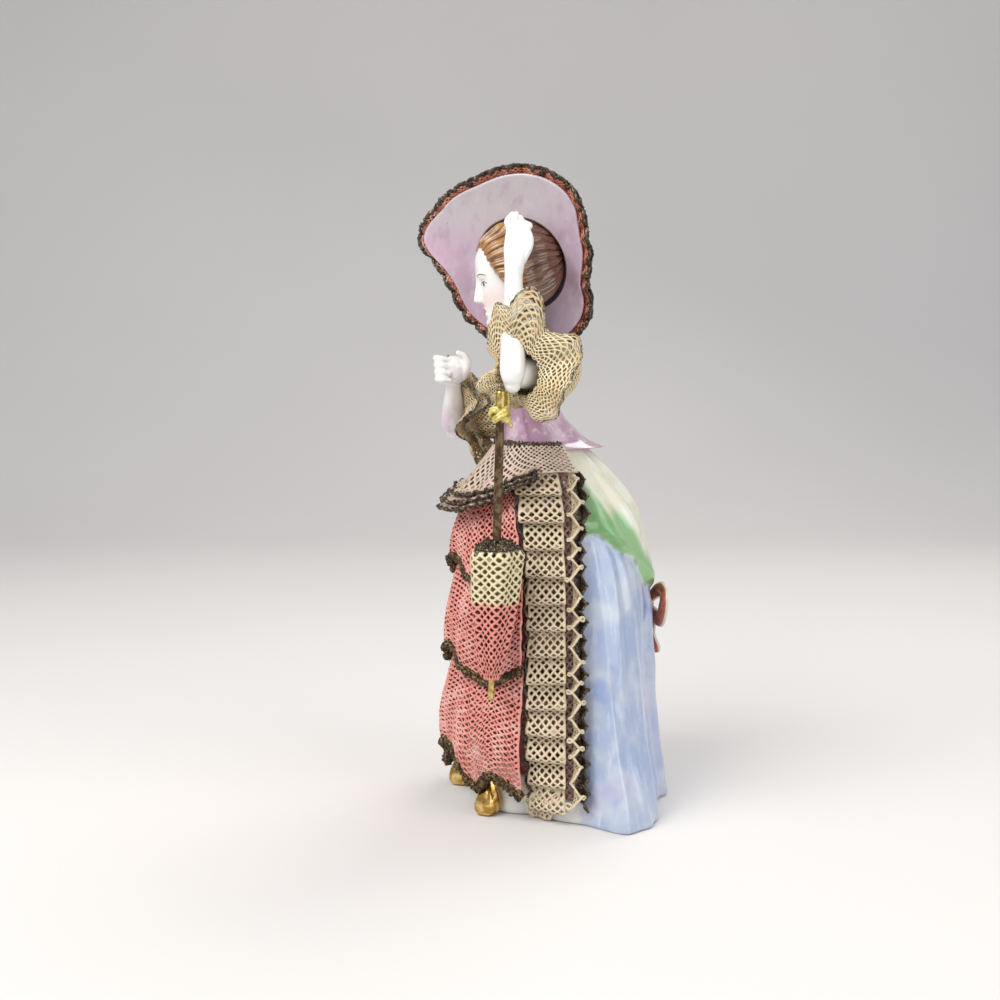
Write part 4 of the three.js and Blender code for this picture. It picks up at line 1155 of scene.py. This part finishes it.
def ladder(piece, lace, side):
    """Ladder of cream lace: a flat net below, painted dark all over as painted shade behind the rungs and darker still
    along its edge by the train, pleated rungs, ruffled frills down both edges, a tongue at the foot and a dark
    crumbled edge."""
    step = lace.broad_pitch / MM / np.sqrt(2)
    seed = 100 if side > 0 else 140

    def under(u, v):
        z = LADDER_TOP - 1 + (LADDER_FOOT + 6 - LADDER_TOP) * v
        start, end = along(LADDER_START, z), along(LADDER_END, z)
        return on_skirt(side * (start + (end - start) * (0.0 + 0.98 * u)), z, 0.75)

    # The flat net below takes the dark copy of the lace and a hem value of at least 0.42, which gives it dark bronze
    # patches: painted shade for the net behind the rungs.
    points, faces, marks = net(under, 19 / step, 104 / step, seed, strand=0.44, crest=0.3, rim=0.12, hem=lambda s, t:
                               0.42 + 0.4 * smoothstep(0.9, 1, s))
    piece.add(points, faces, 2, **marks)
    rungs = ladder_rungs(side, seed + 1)
    points, faces, marks = net(rungs, 13.5 / step, 205 / step, seed + 2, strand=0.42, clogged=lace.clogged)
    piece.add(points, faces, 0, **marks)
    frills = [(0.84, 2.5, 1.15, 3.6, 15, 0.1), (0.985, 1.3, 0.7, 2.6, 19, 0.75), (0.0, 0.9, 0.5, 2.2, 17, 0.7)]
    for k, (share, sway, curl, reach, waves, dark) in enumerate(frills):
        surface = ladder_frill(side, share, sway, curl, reach, waves, seed + 10 + k)
        points, faces, marks = net(surface, 230, 4, seed + 20 + k, strand=0.46,
                                   hem=lambda s, t, dark=dark: dark + 0.2 * smoothstep(0.7, 1, t))
        piece.add(points, faces, 0, **marks)
        path, normal = edge_of(surface, 700, step=0.1)
        points, faces = crumbs(path, normal, 0.36, seed + 30 + k, sides=6, rough=0.2)
        piece.add(points, faces, 0, hem=0.95 if dark > 0.5 else 0.0, crest=1.0)

    def tongue(u, v):
        z = 12 - 11.4 * v
        middle = 62 + 8 * (u - 0.5) * (2 - v) * 1.6
        return on_skirt(side * middle, z, 1.6 + 1.6 * np.sin(np.pi * np.clip(v, 0, 1)) + 0.5 * np.cos(9 * u))

    points, faces, marks = net(tongue, 13 / step, 12 / step, seed + 40, strand=0.44)
    piece.add(points, faces, 0, **marks)


def hip_surface(u, v):
    """Hip lace: from the waist down, further at the front, standing off more towards its hem, in soft folds."""
    share = 2 * u - 1
    frontal = smoothstep(0.75, 0.1, np.abs(share))
    z = 121 - (8.5 + 12.5 * frontal) * v
    stand_off = 2.0 + (2.2 + 4.2 * frontal) * v * v + 0.8 * v * np.cos(share * np.pi * 8)
    stand_off = stand_off + 0.35 * ripple(161, share * 14, v * 2)
    return on_skirt(share * 100, z, stand_off)


def hip_lace(piece, lace):
    """Net over the hips, gathered into a ruffle along its hem, with dark crumbs on both edges."""
    step = lace.broad_pitch / MM / np.sqrt(2)
    points, faces, marks = net(hip_surface, 88 / step, 21 / step, 160, strand=0.46, clogged=0.12,
                               hem=lambda s, t: 0.85 * smoothstep(0.12, 0.0, t))
    piece.add(points, faces, 0, **marks)
    for k, (at_t, reach, waves, sway) in enumerate([(0.97, 3.2, 34, 0.9), (0.86, 3.4, 30, 0.9), (0.74, 3.0, 27, 0.8)]):
        def base(s, at_t=at_t):
            return hip_surface(0.16 + 0.68 * s, np.full_like(s, at_t))

        def out(s, at_t=at_t):
            u = 0.16 + 0.68 * s
            down = unit(hip_surface(u, np.full_like(s, at_t)) - hip_surface(u, np.full_like(s, at_t - 0.2)))
            return unit(down * 0.85 + normal_of(u, at_t) * 0.55)

        def side(s, at_t=at_t):
            return normal_of(0.16 + 0.68 * s, at_t)

        surface = ruffle(base, side, out, waves, sway, 0.4, reach, 170 + 3 * k)
        points, faces, marks = net(surface, 260, 4, 180 + k, strand=0.52, clogged=0.2,
                                   hem=lambda s, t: 0.9 * smoothstep(0.5, 1, t))
        piece.add(points, faces, 0, **marks)
        path, normal = edge_of(surface, 620, step=0.1)
        points, faces = crumbs(path, normal, 0.4, 190 + k, sides=6, rough=0.25)
        piece.add(points, faces, 0, hem=1.0, crest=0.6)
    path, normal = edge_of(hip_surface, 260, 0.0, lift=0.4)
    points, faces = crumbs(path, normal, 0.9, 195, rough=0.36)
    piece.add(points, faces, 0, hem=1.0, crest=0.6)


def normal_of(u, t):
    """Normal of the hip lace that points away from the body."""
    point, normal = lifted(hip_surface, u, np.full_like(u, t), 0.01, 0.05, False)
    away = point - array(0, -6, 0) * 1.0
    away[..., 2] = 0
    return normal * np.sign(np.sum(normal * away, -1, keepdims=True))


def sleeve_surface(start, elbow, reach, seed, inner=0.0):
    """Sleeve: a puff round the upper arm that opens into petals round the elbow, folded along and across."""
    start, elbow = array(*start), array(*elbow)
    axis = elbow - start
    length = np.linalg.norm(axis)
    axis = axis / length
    up = unit(array(0, 0, 1) - axis * axis[2])
    left = np.cross(up, axis)

    def surface(u, v):
        flare = smoothstep(0.5, 1, v) ** 1.2
        puff = 7.2 + 3.6 * np.clip(np.sin(np.minimum(v / 0.55, 1) * np.pi), 0, 1) ** 0.8
        folds = 1.6 * flare * np.cos(u * FULL_TURN * 7)
        gather = 0.35 * np.cos(u * FULL_TURN * 19 + 2 * np.sin(6 * v)) * smoothstep(0.1, 0.4, v)
        r = puff + (along(reach, (u * 360) % 360) - 7.2) * flare * (1 - inner) + 0.4 * folds + gather
        sway = flare * 3 * np.cos(u * FULL_TURN * 3)
        curl = -1.8 * smoothstep(0.8, 1, v) * (0.5 + 0.5 * np.cos(u * FULL_TURN * 5 + seed))
        travel = length * (0.08 + 0.84 * np.minimum(v / 0.6, 1)) + sway + folds + curl - 2.5 * inner * 4
        return start + axis * travel[..., None] + up * (r * np.cos(u * FULL_TURN))[..., None] \
            + left * (r * np.sin(u * FULL_TURN))[..., None]
    return surface


def sleeve(piece, lace, start, elbow, reach, seed):
    """Lace sleeve in two layers, with thin brown edges; the inner layer is flecked with dark bronze all over as
    painted shade inside the flounce.
    """
    for layer, inner in enumerate((0.0, 0.34)):
        surface = sleeve_surface(start, elbow, reach, seed, inner)
        # The inner layer's hem value of 0.25 all over is painted shade inside the flounce.
        points, faces, marks = net(surface, 84, 44, seed + layer, wrapped=True, strand=0.45, clogged=lace.clogged,
                                   hem=lambda s, t, layer=layer: 0.25 * layer + 0.5 * smoothstep(0.97, 1, t))
        piece.add(points, faces, 0, **marks)
        path, normal = edge_of(surface, 420)
        points, faces = crumbs(path, normal, 0.42, seed + 10 + layer, sides=7, rough=0.22)
        piece.add(points, faces, 0, hem=0.55, crest=1.0)


# The parasol

def rod(piece):
    """Rod: one turned profile along the line from its top through the canopy to its gilt tip, with a gilt ferrule
    near the top."""
    top, middle, tip = (array(*p) for p in (ROD_TOP, CANOPY_TOP, ROD_TIP))
    piece.add(*limb([top, top + (middle - top) * 0.5, middle, middle + (tip - middle) * 0.8],
                    [1.25, 1.35, 1.3, 1.0], sides=30, rows=50), 0)
    collar = middle + (tip - middle) * 0.8
    piece.add(*limb([collar, collar + (tip - collar) * 0.12, collar + (tip - collar) * 0.2,
                     collar + (tip - collar) * 0.9, tip], [1.15, 1.2, 0.95, 0.85, 0.55], sides=24, rows=30), 1)
    ferrule = top + (middle - top) * 0.02
    piece.add(*limb([ferrule, ferrule + (middle - top) * 0.03, ferrule + (middle - top) * 0.06,
                     ferrule + (middle - top) * 0.09], [1.5, 1.62, 1.5, 1.62], sides=24, rows=30), 1)


def canopy_surface(u, v):
    """Furled canopy: a slim bell round the rod, in five soft folds that twist a little towards the tip."""
    profile = [[0, 6.2], [0.03, 7.6], [0.12, 7.5], [0.3, 6.9], [0.5, 5.7], [0.7, 3.8], [0.86, 2.0]]
    t = 0.86 * v
    top, tip = array(*CANOPY_TOP), array(*ROD_TIP)
    angle = u * FULL_TURN
    fold = np.cos(5 * angle + 2.2 * t)
    r = along(profile, t) * (1 + 0.10 * fold + 0.06 * np.cos(11 * angle + 5 * t) * smoothstep(0.25, 0.5, t))
    return top + (tip - top) * t[..., None] + np.stack([r * np.cos(angle), r * np.sin(angle), 0 * r], -1)


def canopy(piece, lace):
    """Furled lace of the parasol with a dark crumbled ruff round its mouth, and a core below the net that is painted
    dark as the shade inside the furled canopy.
    """
    step = lace.broad_pitch / MM / np.sqrt(2)
    points, faces, marks = net(canopy_surface, 42 / step, 42 / step, 200, wrapped=True, strand=0.44,
                               clogged=lace.clogged, hem=lambda s, t: 0.7 * smoothstep(0.06, 0, t))
    piece.add(points, faces, 0, **marks)

    def core(u, v):
        middle = canopy_surface(u, v).mean() * 0
        axis = array(*CANOPY_TOP) + (array(*ROD_TIP) - array(*CANOPY_TOP)) * (0.86 * v)[..., None]
        return axis + (canopy_surface(u, v) - axis) * 0.8 + middle

    # The core is painted dark: painted shade inside the furl, seen through the net.
    v, u = np.meshgrid(np.linspace(0.04, 0.99, 40), np.arange(60) / 60, indexing="ij")
    piece.add(*closed_rings(core(u, v)), 1, crest=0.0)

    def base(s):
        return canopy_surface(s, np.zeros_like(s))

    def side(s):
        return np.broadcast_to(array(0, 0, 1), s.shape + (3,))

    def out(s):
        away = base(s) - array(*CANOPY_TOP)
        return -unit(away) * 0.75 + array(0, 0, 0.5)

    for k, reach in enumerate((3.4, 2.2)):
        surface = ruffle(base, side, out, 11 - 2 * k, 0.8, 0.3, reach, 210 + k)
        points, faces, marks = net(surface, 80, 4, 215 + k, wrapped=True, strand=0.5, clogged=0.3,
                                   hem=lambda s, t: np.full_like(s, 0.85))
        piece.add(points, faces, 0, **marks)
        path, normal = edge_of(surface, 200)
        points, faces = crumbs(path, normal, 0.55, 220 + k, sides=7, rough=0.3)
        piece.add(points, faces, 0, hem=1.0, crest=0.6)
    path, normal = edge_of(canopy_surface, 160, 0.0)
    points, faces = crumbs(path, normal, 0.7, 230, rough=0.34)
    piece.add(points, faces, 0, hem=1.0, crest=0.6)


def canopy_finish(name, light, deep):
    """Cream lace that turns rose pink from two fifths of the way down, with dark bronze at its mouth; its strands are
    lighter on their crests and darker round the holes, as painted light and painted shade.
    """
    finish, shader, place = new_finish(name, Coat_Weight=0.25, Coat_Roughness=0.2)
    height = place.add("ShaderNodeSeparateXYZ", None, 2, Vector=place)
    grain = place.noise(0.5, 3, 0.6)
    rosy = (height + 0.004 * (place.noise(4, 2) - 0.5)).rise(0.0755, 0.0725)
    # Painted light and shade: lighter on the crests of the strands, darker round the holes.
    crest = (place.mark("crest") * 0.85 + grain * 0.5).rise(0.15, 0.85)
    cream = crest.mix(rgb((0.26, 0.19, 0.08)), rgb((0.72, 0.64, 0.40)))
    rose = crest.mix(rgb(deep), rgb(light))
    dark = (place.mark("hem") + 0.5 * (place.noise(1.1, 2) - 0.5)).rise(0.38, 0.62)
    gilt = place.noise(0.8, 2).rise(0.56, 0.66)
    bronze = gilt.mix(rgb((0.035, 0.022, 0.014)), rgb((0.30, 0.2, 0.07)))
    feed(shader, Base_Color=dark.mix(rosy.mix(cream, rose), bronze), Roughness=0.36 + 0.2 * grain,
         Metallic=dark * 0.5, Normal=bumped(grain, 0.35, 0.12))
    return finish


def tie(piece):
    """Knotted gilt cord round the rod: a cord wound as a knot that goes twice round the rod while it passes three
    times through the middle, and a short end that stands up."""
    top, low = array(*ROD_TOP), array(*CANOPY_TOP)
    centre = top + (low - top) * 0.15
    for k, (major, minor, lean) in enumerate([(2.1, 1.0, 0.2), (2.0, 0.9, 1.9)]):
        t = np.linspace(0, FULL_TURN, 150, endpoint=False)
        ring = major + minor * np.cos(3 * t + lean)
        path = np.stack([ring * np.cos(2 * t + k), ring * np.sin(2 * t + k),
                         1.5 * np.sin(3 * t + lean) + 0.8 * (k - 0.5)], -1) + centre
        tangent = unit(np.roll(path, -1, 0) - np.roll(path, 1, 0))
        side = unit(np.cross(tangent, array(0.2, 0.3, 1)))
        up = np.cross(side, tangent)
        turn = np.arange(12) / 12 * FULL_TURN
        r = 0.72 * (1 + 0.12 * np.cos(4 * turn[None] + 40 * t[:, None]))
        rings = path[:, None] + side[:, None] * (r * np.cos(turn))[..., None] \
            + up[:, None] * (r * np.sin(turn))[..., None]
        faces = quads(151, 12)
        faces = np.where(faces >= 150 * 12, faces - 150 * 12, faces)
        piece.add(rings, [faces])
    piece.add(*limb([centre + array(-0.4, 1.6, 0.6), centre + array(-0.6, 2.6, 3), centre + array(-0.4, 2.4, 7)],
                    [0.8, 0.65, 0.5], sides=12, rows=24))
    piece.add(*limb([centre + array(0.4, 0.6, -1), centre + array(0.6, 2.6, -2.2), centre + array(0.4, 3.4, -3.6)],
                    [0.8, 0.7, 0.6], sides=12, rows=20))


# What a user may change, the operators, and the panel that lists them

def colour_property(name, description, default):
    return FloatVectorProperty(name=name, description=description, default=default, size=3, min=0, max=1,
                               subtype="COLOR")


class FIGURINE_PG_paint(bpy.types.PropertyGroup):
    """Colours that are painted under the glaze."""

    train_blue: colour_property("Train", "Cornflower blue of the train", (0.33, 0.41, 0.60))
    drape_cream: colour_property("Drape", "Cream of the drape over the train", (0.74, 0.73, 0.55))
    drape_green: colour_property("Drape hem", "Green of the drape's hem", (0.12, 0.33, 0.09))
    bodice_lilac: colour_property("Bodice", "Lilac of the bodice", (0.46, 0.28, 0.39))
    hat_lilac: colour_property("Hat", "Lilac of the hat", (0.44, 0.30, 0.40))
    hair_gold: colour_property("Hair", "Lights of the golden brown hair", (0.40, 0.19, 0.045))
    eye_blue: colour_property("Eyes", "Grey blue of the irises", (0.10, 0.17, 0.26))
    bow_orange: colour_property("Bow", "Orange of the bow", (0.62, 0.13, 0.03))


class FIGURINE_PG_lace(bpy.types.PropertyGroup):
    """Nets that are dipped in slip, and their fired colours."""

    fine_pitch: FloatProperty(name="Fine net", description="Distance between holes of the tiers' net",
                              default=0.0014, min=0.0008, unit="LENGTH", precision=4)
    broad_pitch: FloatProperty(name="Broad net", description="Distance between holes of the cream net",
                               default=0.0019, min=0.001, unit="LENGTH", precision=4)
    clogged: FloatProperty(name="Clogged holes", description="Share of the holes that slip has filled",
                           default=0.03, min=0, max=1, subtype="FACTOR")
    cream: colour_property("Cream lace", "Crests of the cream lace", (0.66, 0.56, 0.38))
    pink: colour_property("Pink lace", "Crests of the pink lace", (0.72, 0.27, 0.22))
    rust: colour_property("Rust lace", "Crests of the hat's frill", (0.58, 0.19, 0.11))


class FIGURINE_PG_studio(bpy.types.PropertyGroup):
    """Camera and light."""

    distance: FloatProperty(name="Camera distance", description="From the figurine's axis to the camera",
                            default=0.45, min=0.2, unit="LENGTH")
    key_power: FloatProperty(name="Key light", description="Power of the large soft light", default=5.2, min=0,
                             unit="POWER")
    fill_power: FloatProperty(name="Fill light", description="Power of the soft light from the other side",
                              default=2.2, min=0, unit="POWER")
    floor_tone: colour_property("Floor", "Colour of the floor and backdrop", (0.70, 0.68, 0.66))


class FIGURINE_PG_settings(bpy.types.PropertyGroup):
    """All settings of the figurine."""

    paint: PointerProperty(type=FIGURINE_PG_paint)
    lace: PointerProperty(type=FIGURINE_PG_lace)
    studio: PointerProperty(type=FIGURINE_PG_studio)


def bronze_hem():
    return metal_finish("bronze_hem", (0.030, 0.019, 0.012), (0.20, 0.13, 0.05), 1.1, 0.28, Metallic=0.55)


class FIGURINE_OT_gown(bpy.types.Operator):
    """Gown with its train, drape and painted underskirt"""

    bl_idname = "figurine.gown"
    bl_label = "Gown"

    def execute(self, context):
        piece = Piece()
        gown(piece)
        piece.build("gown", "figure", [gown_finish(context.scene.figurine.paint)])
        return {"FINISHED"}


class FIGURINE_OT_bust(bpy.types.Operator):
    """Bodice, shoulders and neck"""

    bl_idname = "figurine.bust"
    bl_label = "Bodice and neck"

    def execute(self, context):
        piece = Piece()
        bust(piece)
        piece.build("bodice", "figure", [bust_finish(context.scene.figurine.paint)])
        return {"FINISHED"}


class FIGURINE_OT_head(bpy.types.Operator):
    """Head with its painted face, and the hair"""

    bl_idname = "figurine.head"
    bl_label = "Head and hair"

    def execute(self, context):
        paint = context.scene.figurine.paint
        for name, shape, finish in (("head", face, face_finish), ("hair", hair, hair_finish)):
            piece = Piece()
            shape(piece)
            piece.build(name, "figure", [finish(paint)])
        return {"FINISHED"}


class FIGURINE_OT_arms(bpy.types.Operator):
    """Raised left arm and bent right arm, each melted into one skin"""

    bl_idname = "figurine.arms"
    bl_label = "Arms"

    def execute(self, context):
        skin = skin_finish(context.scene.figurine.paint)
        for name, shape in (("raised_arm", raised_arm), ("bent_arm", bent_arm)):
            piece = Piece()
            shape(piece)
            melted(piece.build(name, "figure", [skin]), 0.3, 3)
        return {"FINISHED"}


class FIGURINE_OT_shoes(bpy.types.Operator):
    """Gilt shoe tips under the hem"""

    bl_idname = "figurine.shoes"
    bl_label = "Shoes"

    def execute(self, context):
        piece = Piece()
        shoes(piece)
        gilt = metal_finish("gilt", (0.50, 0.27, 0.06), (0.86, 0.62, 0.24), 3.0, 0.08, Metallic=1.0)
        piece.build("shoes", "figure", [gilt])
        return {"FINISHED"}


class FIGURINE_OT_hat(bpy.types.Operator):
    """Hat and the ruffled lace round its rim"""

    bl_idname = "figurine.hat"
    bl_label = "Hat"

    def execute(self, context):
        settings = context.scene.figurine
        piece = Piece()
        hat_body(piece)
        piece.build("hat_body", "hat", [hat_finish(settings.paint)])
        piece = Piece()
        hat_frill(piece)
        rust = lace_finish("rust_net", settings.lace.rust, (0.20, 0.05, 0.03), (0.66, 0.34, 0.22), 4.0)
        piece.build("hat_ruffle", "hat_frill", [rust])
        return {"FINISHED"}


class FIGURINE_OT_tiers(bpy.types.Operator):
    """Three draped tiers of pink lace"""

    bl_idname = "figurine.tiers"
    bl_label = "Pink tiers"

    def execute(self, context):
        lace = context.scene.figurine.lace
        pink = lace_finish("pink_net", lace.pink, (0.30, 0.05, 0.04), (0.78, 0.42, 0.36), 6.0)
        hem = bronze_hem()
        for index, (name, *_) in enumerate(TIERS):
            piece = Piece()
            tier(piece, lace, index)
            piece.build("pink_lace_" + name, "tier_" + name, [pink, hem])
        return {"FINISHED"}


class FIGURINE_OT_ladders(bpy.types.Operator):
    """Pleated ladders of cream lace down both sides"""

    bl_idname = "figurine.ladders"
    bl_label = "Cream ladders"

    def execute(self, context):
        lace = context.scene.figurine.lace
        cream = lace_finish("cream_net", lace.cream, (0.22, 0.15, 0.08), (0.60, 0.45, 0.32))
        # A dark copy of the cream lace: painted shade for the net under the rungs.
        shaded = lace_finish("under_net_painted_shade", (0.34, 0.19, 0.15), (0.12, 0.05, 0.04), (0.30, 0.12, 0.11))
        hem = bronze_hem()
        for name, side in (("left", 1), ("right", -1)):
            piece = Piece()
            ladder(piece, lace, side)
            piece.build("cream_ladder_" + name, "ladder_" + name, [cream, hem, shaded])
        return {"FINISHED"}


class FIGURINE_OT_hip_lace(bpy.types.Operator):
    """Cream lace over the hips with its gathered hem"""

    bl_idname = "figurine.hip_lace"
    bl_label = "Hip lace"

    def execute(self, context):
        lace = context.scene.figurine.lace
        piece = Piece()
        hip_lace(piece, lace)
        grey = lace_finish("hip_net", (0.56, 0.46, 0.36), (0.22, 0.15, 0.10), (0.60, 0.40, 0.34))
        piece.build("hip_ruffle", "hip_lace", [grey])
        return {"FINISHED"}


class FIGURINE_OT_sleeves(bpy.types.Operator):
    """Lace sleeves with their flounces"""

    bl_idname = "figurine.sleeves"
    bl_label = "Sleeves"

    def execute(self, context):
        lace = context.scene.figurine.lace
        tan = lace_finish("sleeve_net", (0.70, 0.60, 0.38), (0.20, 0.13, 0.05), (0.62, 0.42, 0.20), 4.0)
        for name, start, elbow, reach, seed in (
                ("left", SHOULDER, LEFT_ELBOW, LEFT_REACH, 240),
                ("right", (-19, -2, 134), (-28, -25, 129), RIGHT_REACH, 270)):
            piece = Piece()
            sleeve(piece, lace, start, elbow, reach, seed)
            piece.build("lace_sleeve_" + name, "sleeve_" + name, [tan])
        return {"FINISHED"}


class FIGURINE_OT_bow(bpy.types.Operator):
    """Orange bow on the back of the train"""

    bl_idname = "figurine.bow"
    bl_label = "Bow"

    def execute(self, context):
        piece = Piece()
        bow_ribbons(piece)
        piece.build("bow_ribbon", "bow", [bow_finish(context.scene.figurine.paint)])
        return {"FINISHED"}


class FIGURINE_OT_parasol(bpy.types.Operator):
    """Parasol: rod, furled lace canopy and knotted gilt cord"""

    bl_idname = "figurine.parasol"
    bl_label = "Parasol"

    def execute(self, context):
        lace = context.scene.figurine.lace
        bronze = metal_finish("bronzed_rod", (0.07, 0.04, 0.02), (0.20, 0.13, 0.07), 2.0, 0.25, Metallic=0.75)
        gilt = metal_finish("gilt_tip", (0.42, 0.30, 0.08), (0.72, 0.58, 0.22), 1.5, 0.2, Metallic=0.9)
        piece = Piece()
        rod(piece)
        piece.build("parasol_stick", "parasol_rod", [bronze, gilt])
        piece = Piece()
        canopy(piece, lace)
        net_pink = canopy_finish("canopy_net", lace.pink, (0.30, 0.05, 0.04))
        # The core's finish is near black red and dark brown: painted shade.
        core = canopy_finish("canopy_core_painted_shade", (0.12, 0.02, 0.02), (0.10, 0.02, 0.02))
        piece.build("parasol_lace", "parasol_canopy", [net_pink, core])
        piece = Piece()
        tie(piece)
        cord = metal_finish("gilt_cord", (0.52, 0.40, 0.10), (0.78, 0.68, 0.26), 1.0, 0.28, Metallic=0.35)
        piece.build("parasol_knot", "parasol_tie", [cord])
        return {"FINISHED"}


class FIGURINE_OT_studio(bpy.types.Operator):
    """Pale floor that curves up into a backdrop, soft lights and the camera"""

    bl_idname = "figurine.studio"
    bl_label = "Studio"

    def execute(self, context):
        studio = context.scene.figurine.studio
        view = Vector((-0.950, 0.2905, -0.1132)).normalized()
        camera = bpy.data.objects.new("camera", bpy.data.cameras.new("camera"))
        camera.location = (0.42478, -0.14974, 0.1523)
        camera.rotation_euler = view.to_track_quat("-Z", "Y").to_euler()
        camera.data.lens = 48.24
        camera.data.sensor_width = 36
        camera.data.clip_start = 0.01
        context.collection.objects.link(camera)
        context.scene.camera = camera
        make_backdrop(context, studio, view)
        towards = Vector((view.x, view.y, 0)).normalized()
        aside = Vector((-towards.y, towards.x, 0))
        for name, ahead, left, up, size, power in (
                ("key_light", -0.35, 0.40, 0.60, 0.5, studio.key_power),
                ("fill_light", -0.45, -0.55, 0.35, 0.6, studio.fill_power),
                ("back_light", 0.35, -0.25, 0.65, 0.4, studio.fill_power)):
            lamp = bpy.data.lights.new(name, "AREA")
            lamp.size = size
            lamp.energy = power
            lamp.color = (1.0, 0.985, 0.96)
            light = bpy.data.objects.new(name, lamp)
            light.location = towards * ahead + aside * left + Vector((0, 0, up))
            light.rotation_euler = (Vector((0, 0, 0.11)) - light.location).to_track_quat("-Z", "Y").to_euler()
            context.collection.objects.link(light)
        world = bpy.data.worlds.new("studio_air")
        world.use_nodes = True
        world.node_tree.nodes["Background"].inputs[0].default_value = rgb((0.92, 0.94, 1.0))
        world.node_tree.nodes["Background"].inputs[1].default_value = 0.55
        context.scene.world = world
        context.scene.view_settings.view_transform = "Standard"
        return {"FINISHED"}


def make_backdrop(context, studio, view):
    """Floor and wall in one sweep: flat under the figurine, then a quarter circle, then upright."""
    towards = array(view.x, view.y, 0)
    towards = towards / np.linalg.norm(towards)
    aside = array(-towards[1], towards[0], 0)
    wall, bend, reach = 1.1, 0.5, 2.6
    turn = np.linspace(0, 90, 24) * DEGREE
    far = np.concatenate([[-1.6], wall - bend + bend * np.sin(turn), [wall]])
    high = np.concatenate([[0], bend - bend * np.cos(turn), [2.4]])
    across = np.linspace(-reach, reach, 12)
    points = far[:, None, None] * towards + across[None, :, None] * aside \
        + high[:, None, None] * array(0, 0, 1)
    points[..., 2] -= 0.0001
    mesh = bpy.data.meshes.new("backdrop")
    mesh.from_pydata(points.reshape(-1, 3).tolist(), [], quads(len(far), 12, False).tolist())
    mesh.shade_smooth()
    finish, shader, place = new_finish("backdrop_paper", Roughness=0.85)
    feed(shader, Base_Color=place.add("ShaderNodeTexNoise", Vector=place, Scale=3.0, Detail=2.0)
         .rise(0.3, 0.7).mix(rgb(studio.floor_tone), rgb([c * 0.97 for c in studio.floor_tone])))
    mesh.materials.append(finish)
    backdrop = bpy.data.objects.new("backdrop", mesh)
    context.collection.objects.link(backdrop)


OPERATORS = [
    FIGURINE_OT_gown, FIGURINE_OT_bust, FIGURINE_OT_head, FIGURINE_OT_arms, FIGURINE_OT_shoes, FIGURINE_OT_hat,
    FIGURINE_OT_tiers, FIGURINE_OT_ladders, FIGURINE_OT_hip_lace, FIGURINE_OT_sleeves, FIGURINE_OT_bow,
    FIGURINE_OT_parasol, FIGURINE_OT_studio,
]


class FIGURINE_PT_pieces(bpy.types.Panel):
    """Lists the pieces of the figurine and its settings"""

    bl_label = "Lace porcelain lady"
    bl_idname = "FIGURINE_PT_pieces"
    bl_space_type = "VIEW_3D"
    bl_region_type = "UI"
    bl_category = "Figurine"

    def draw(self, context):
        settings = context.scene.figurine
        for group in (settings.paint, settings.lace, settings.studio):
            box = self.layout.box()
            for name in group.bl_rna.properties.keys():
                if name not in {"rna_type", "name"}:
                    box.prop(group, name)
        for operator in OPERATORS:
            self.layout.operator(operator.bl_idname)


CLASSES = [FIGURINE_PG_paint, FIGURINE_PG_lace, FIGURINE_PG_studio, FIGURINE_PG_settings, *OPERATORS,
           FIGURINE_PT_pieces]


def register():
    for kind in CLASSES:
        bpy.utils.register_class(kind)
    bpy.types.Scene.figurine = PointerProperty(type=FIGURINE_PG_settings)


def unregister():
    del bpy.types.Scene.figurine
    for kind in reversed(CLASSES):
        bpy.utils.unregister_class(kind)


def main():
    register()
    for operator in OPERATORS:
        group, name = operator.bl_idname.split(".")
        getattr(getattr(bpy.ops, group), name)()


if __name__ == "__main__":
    main()
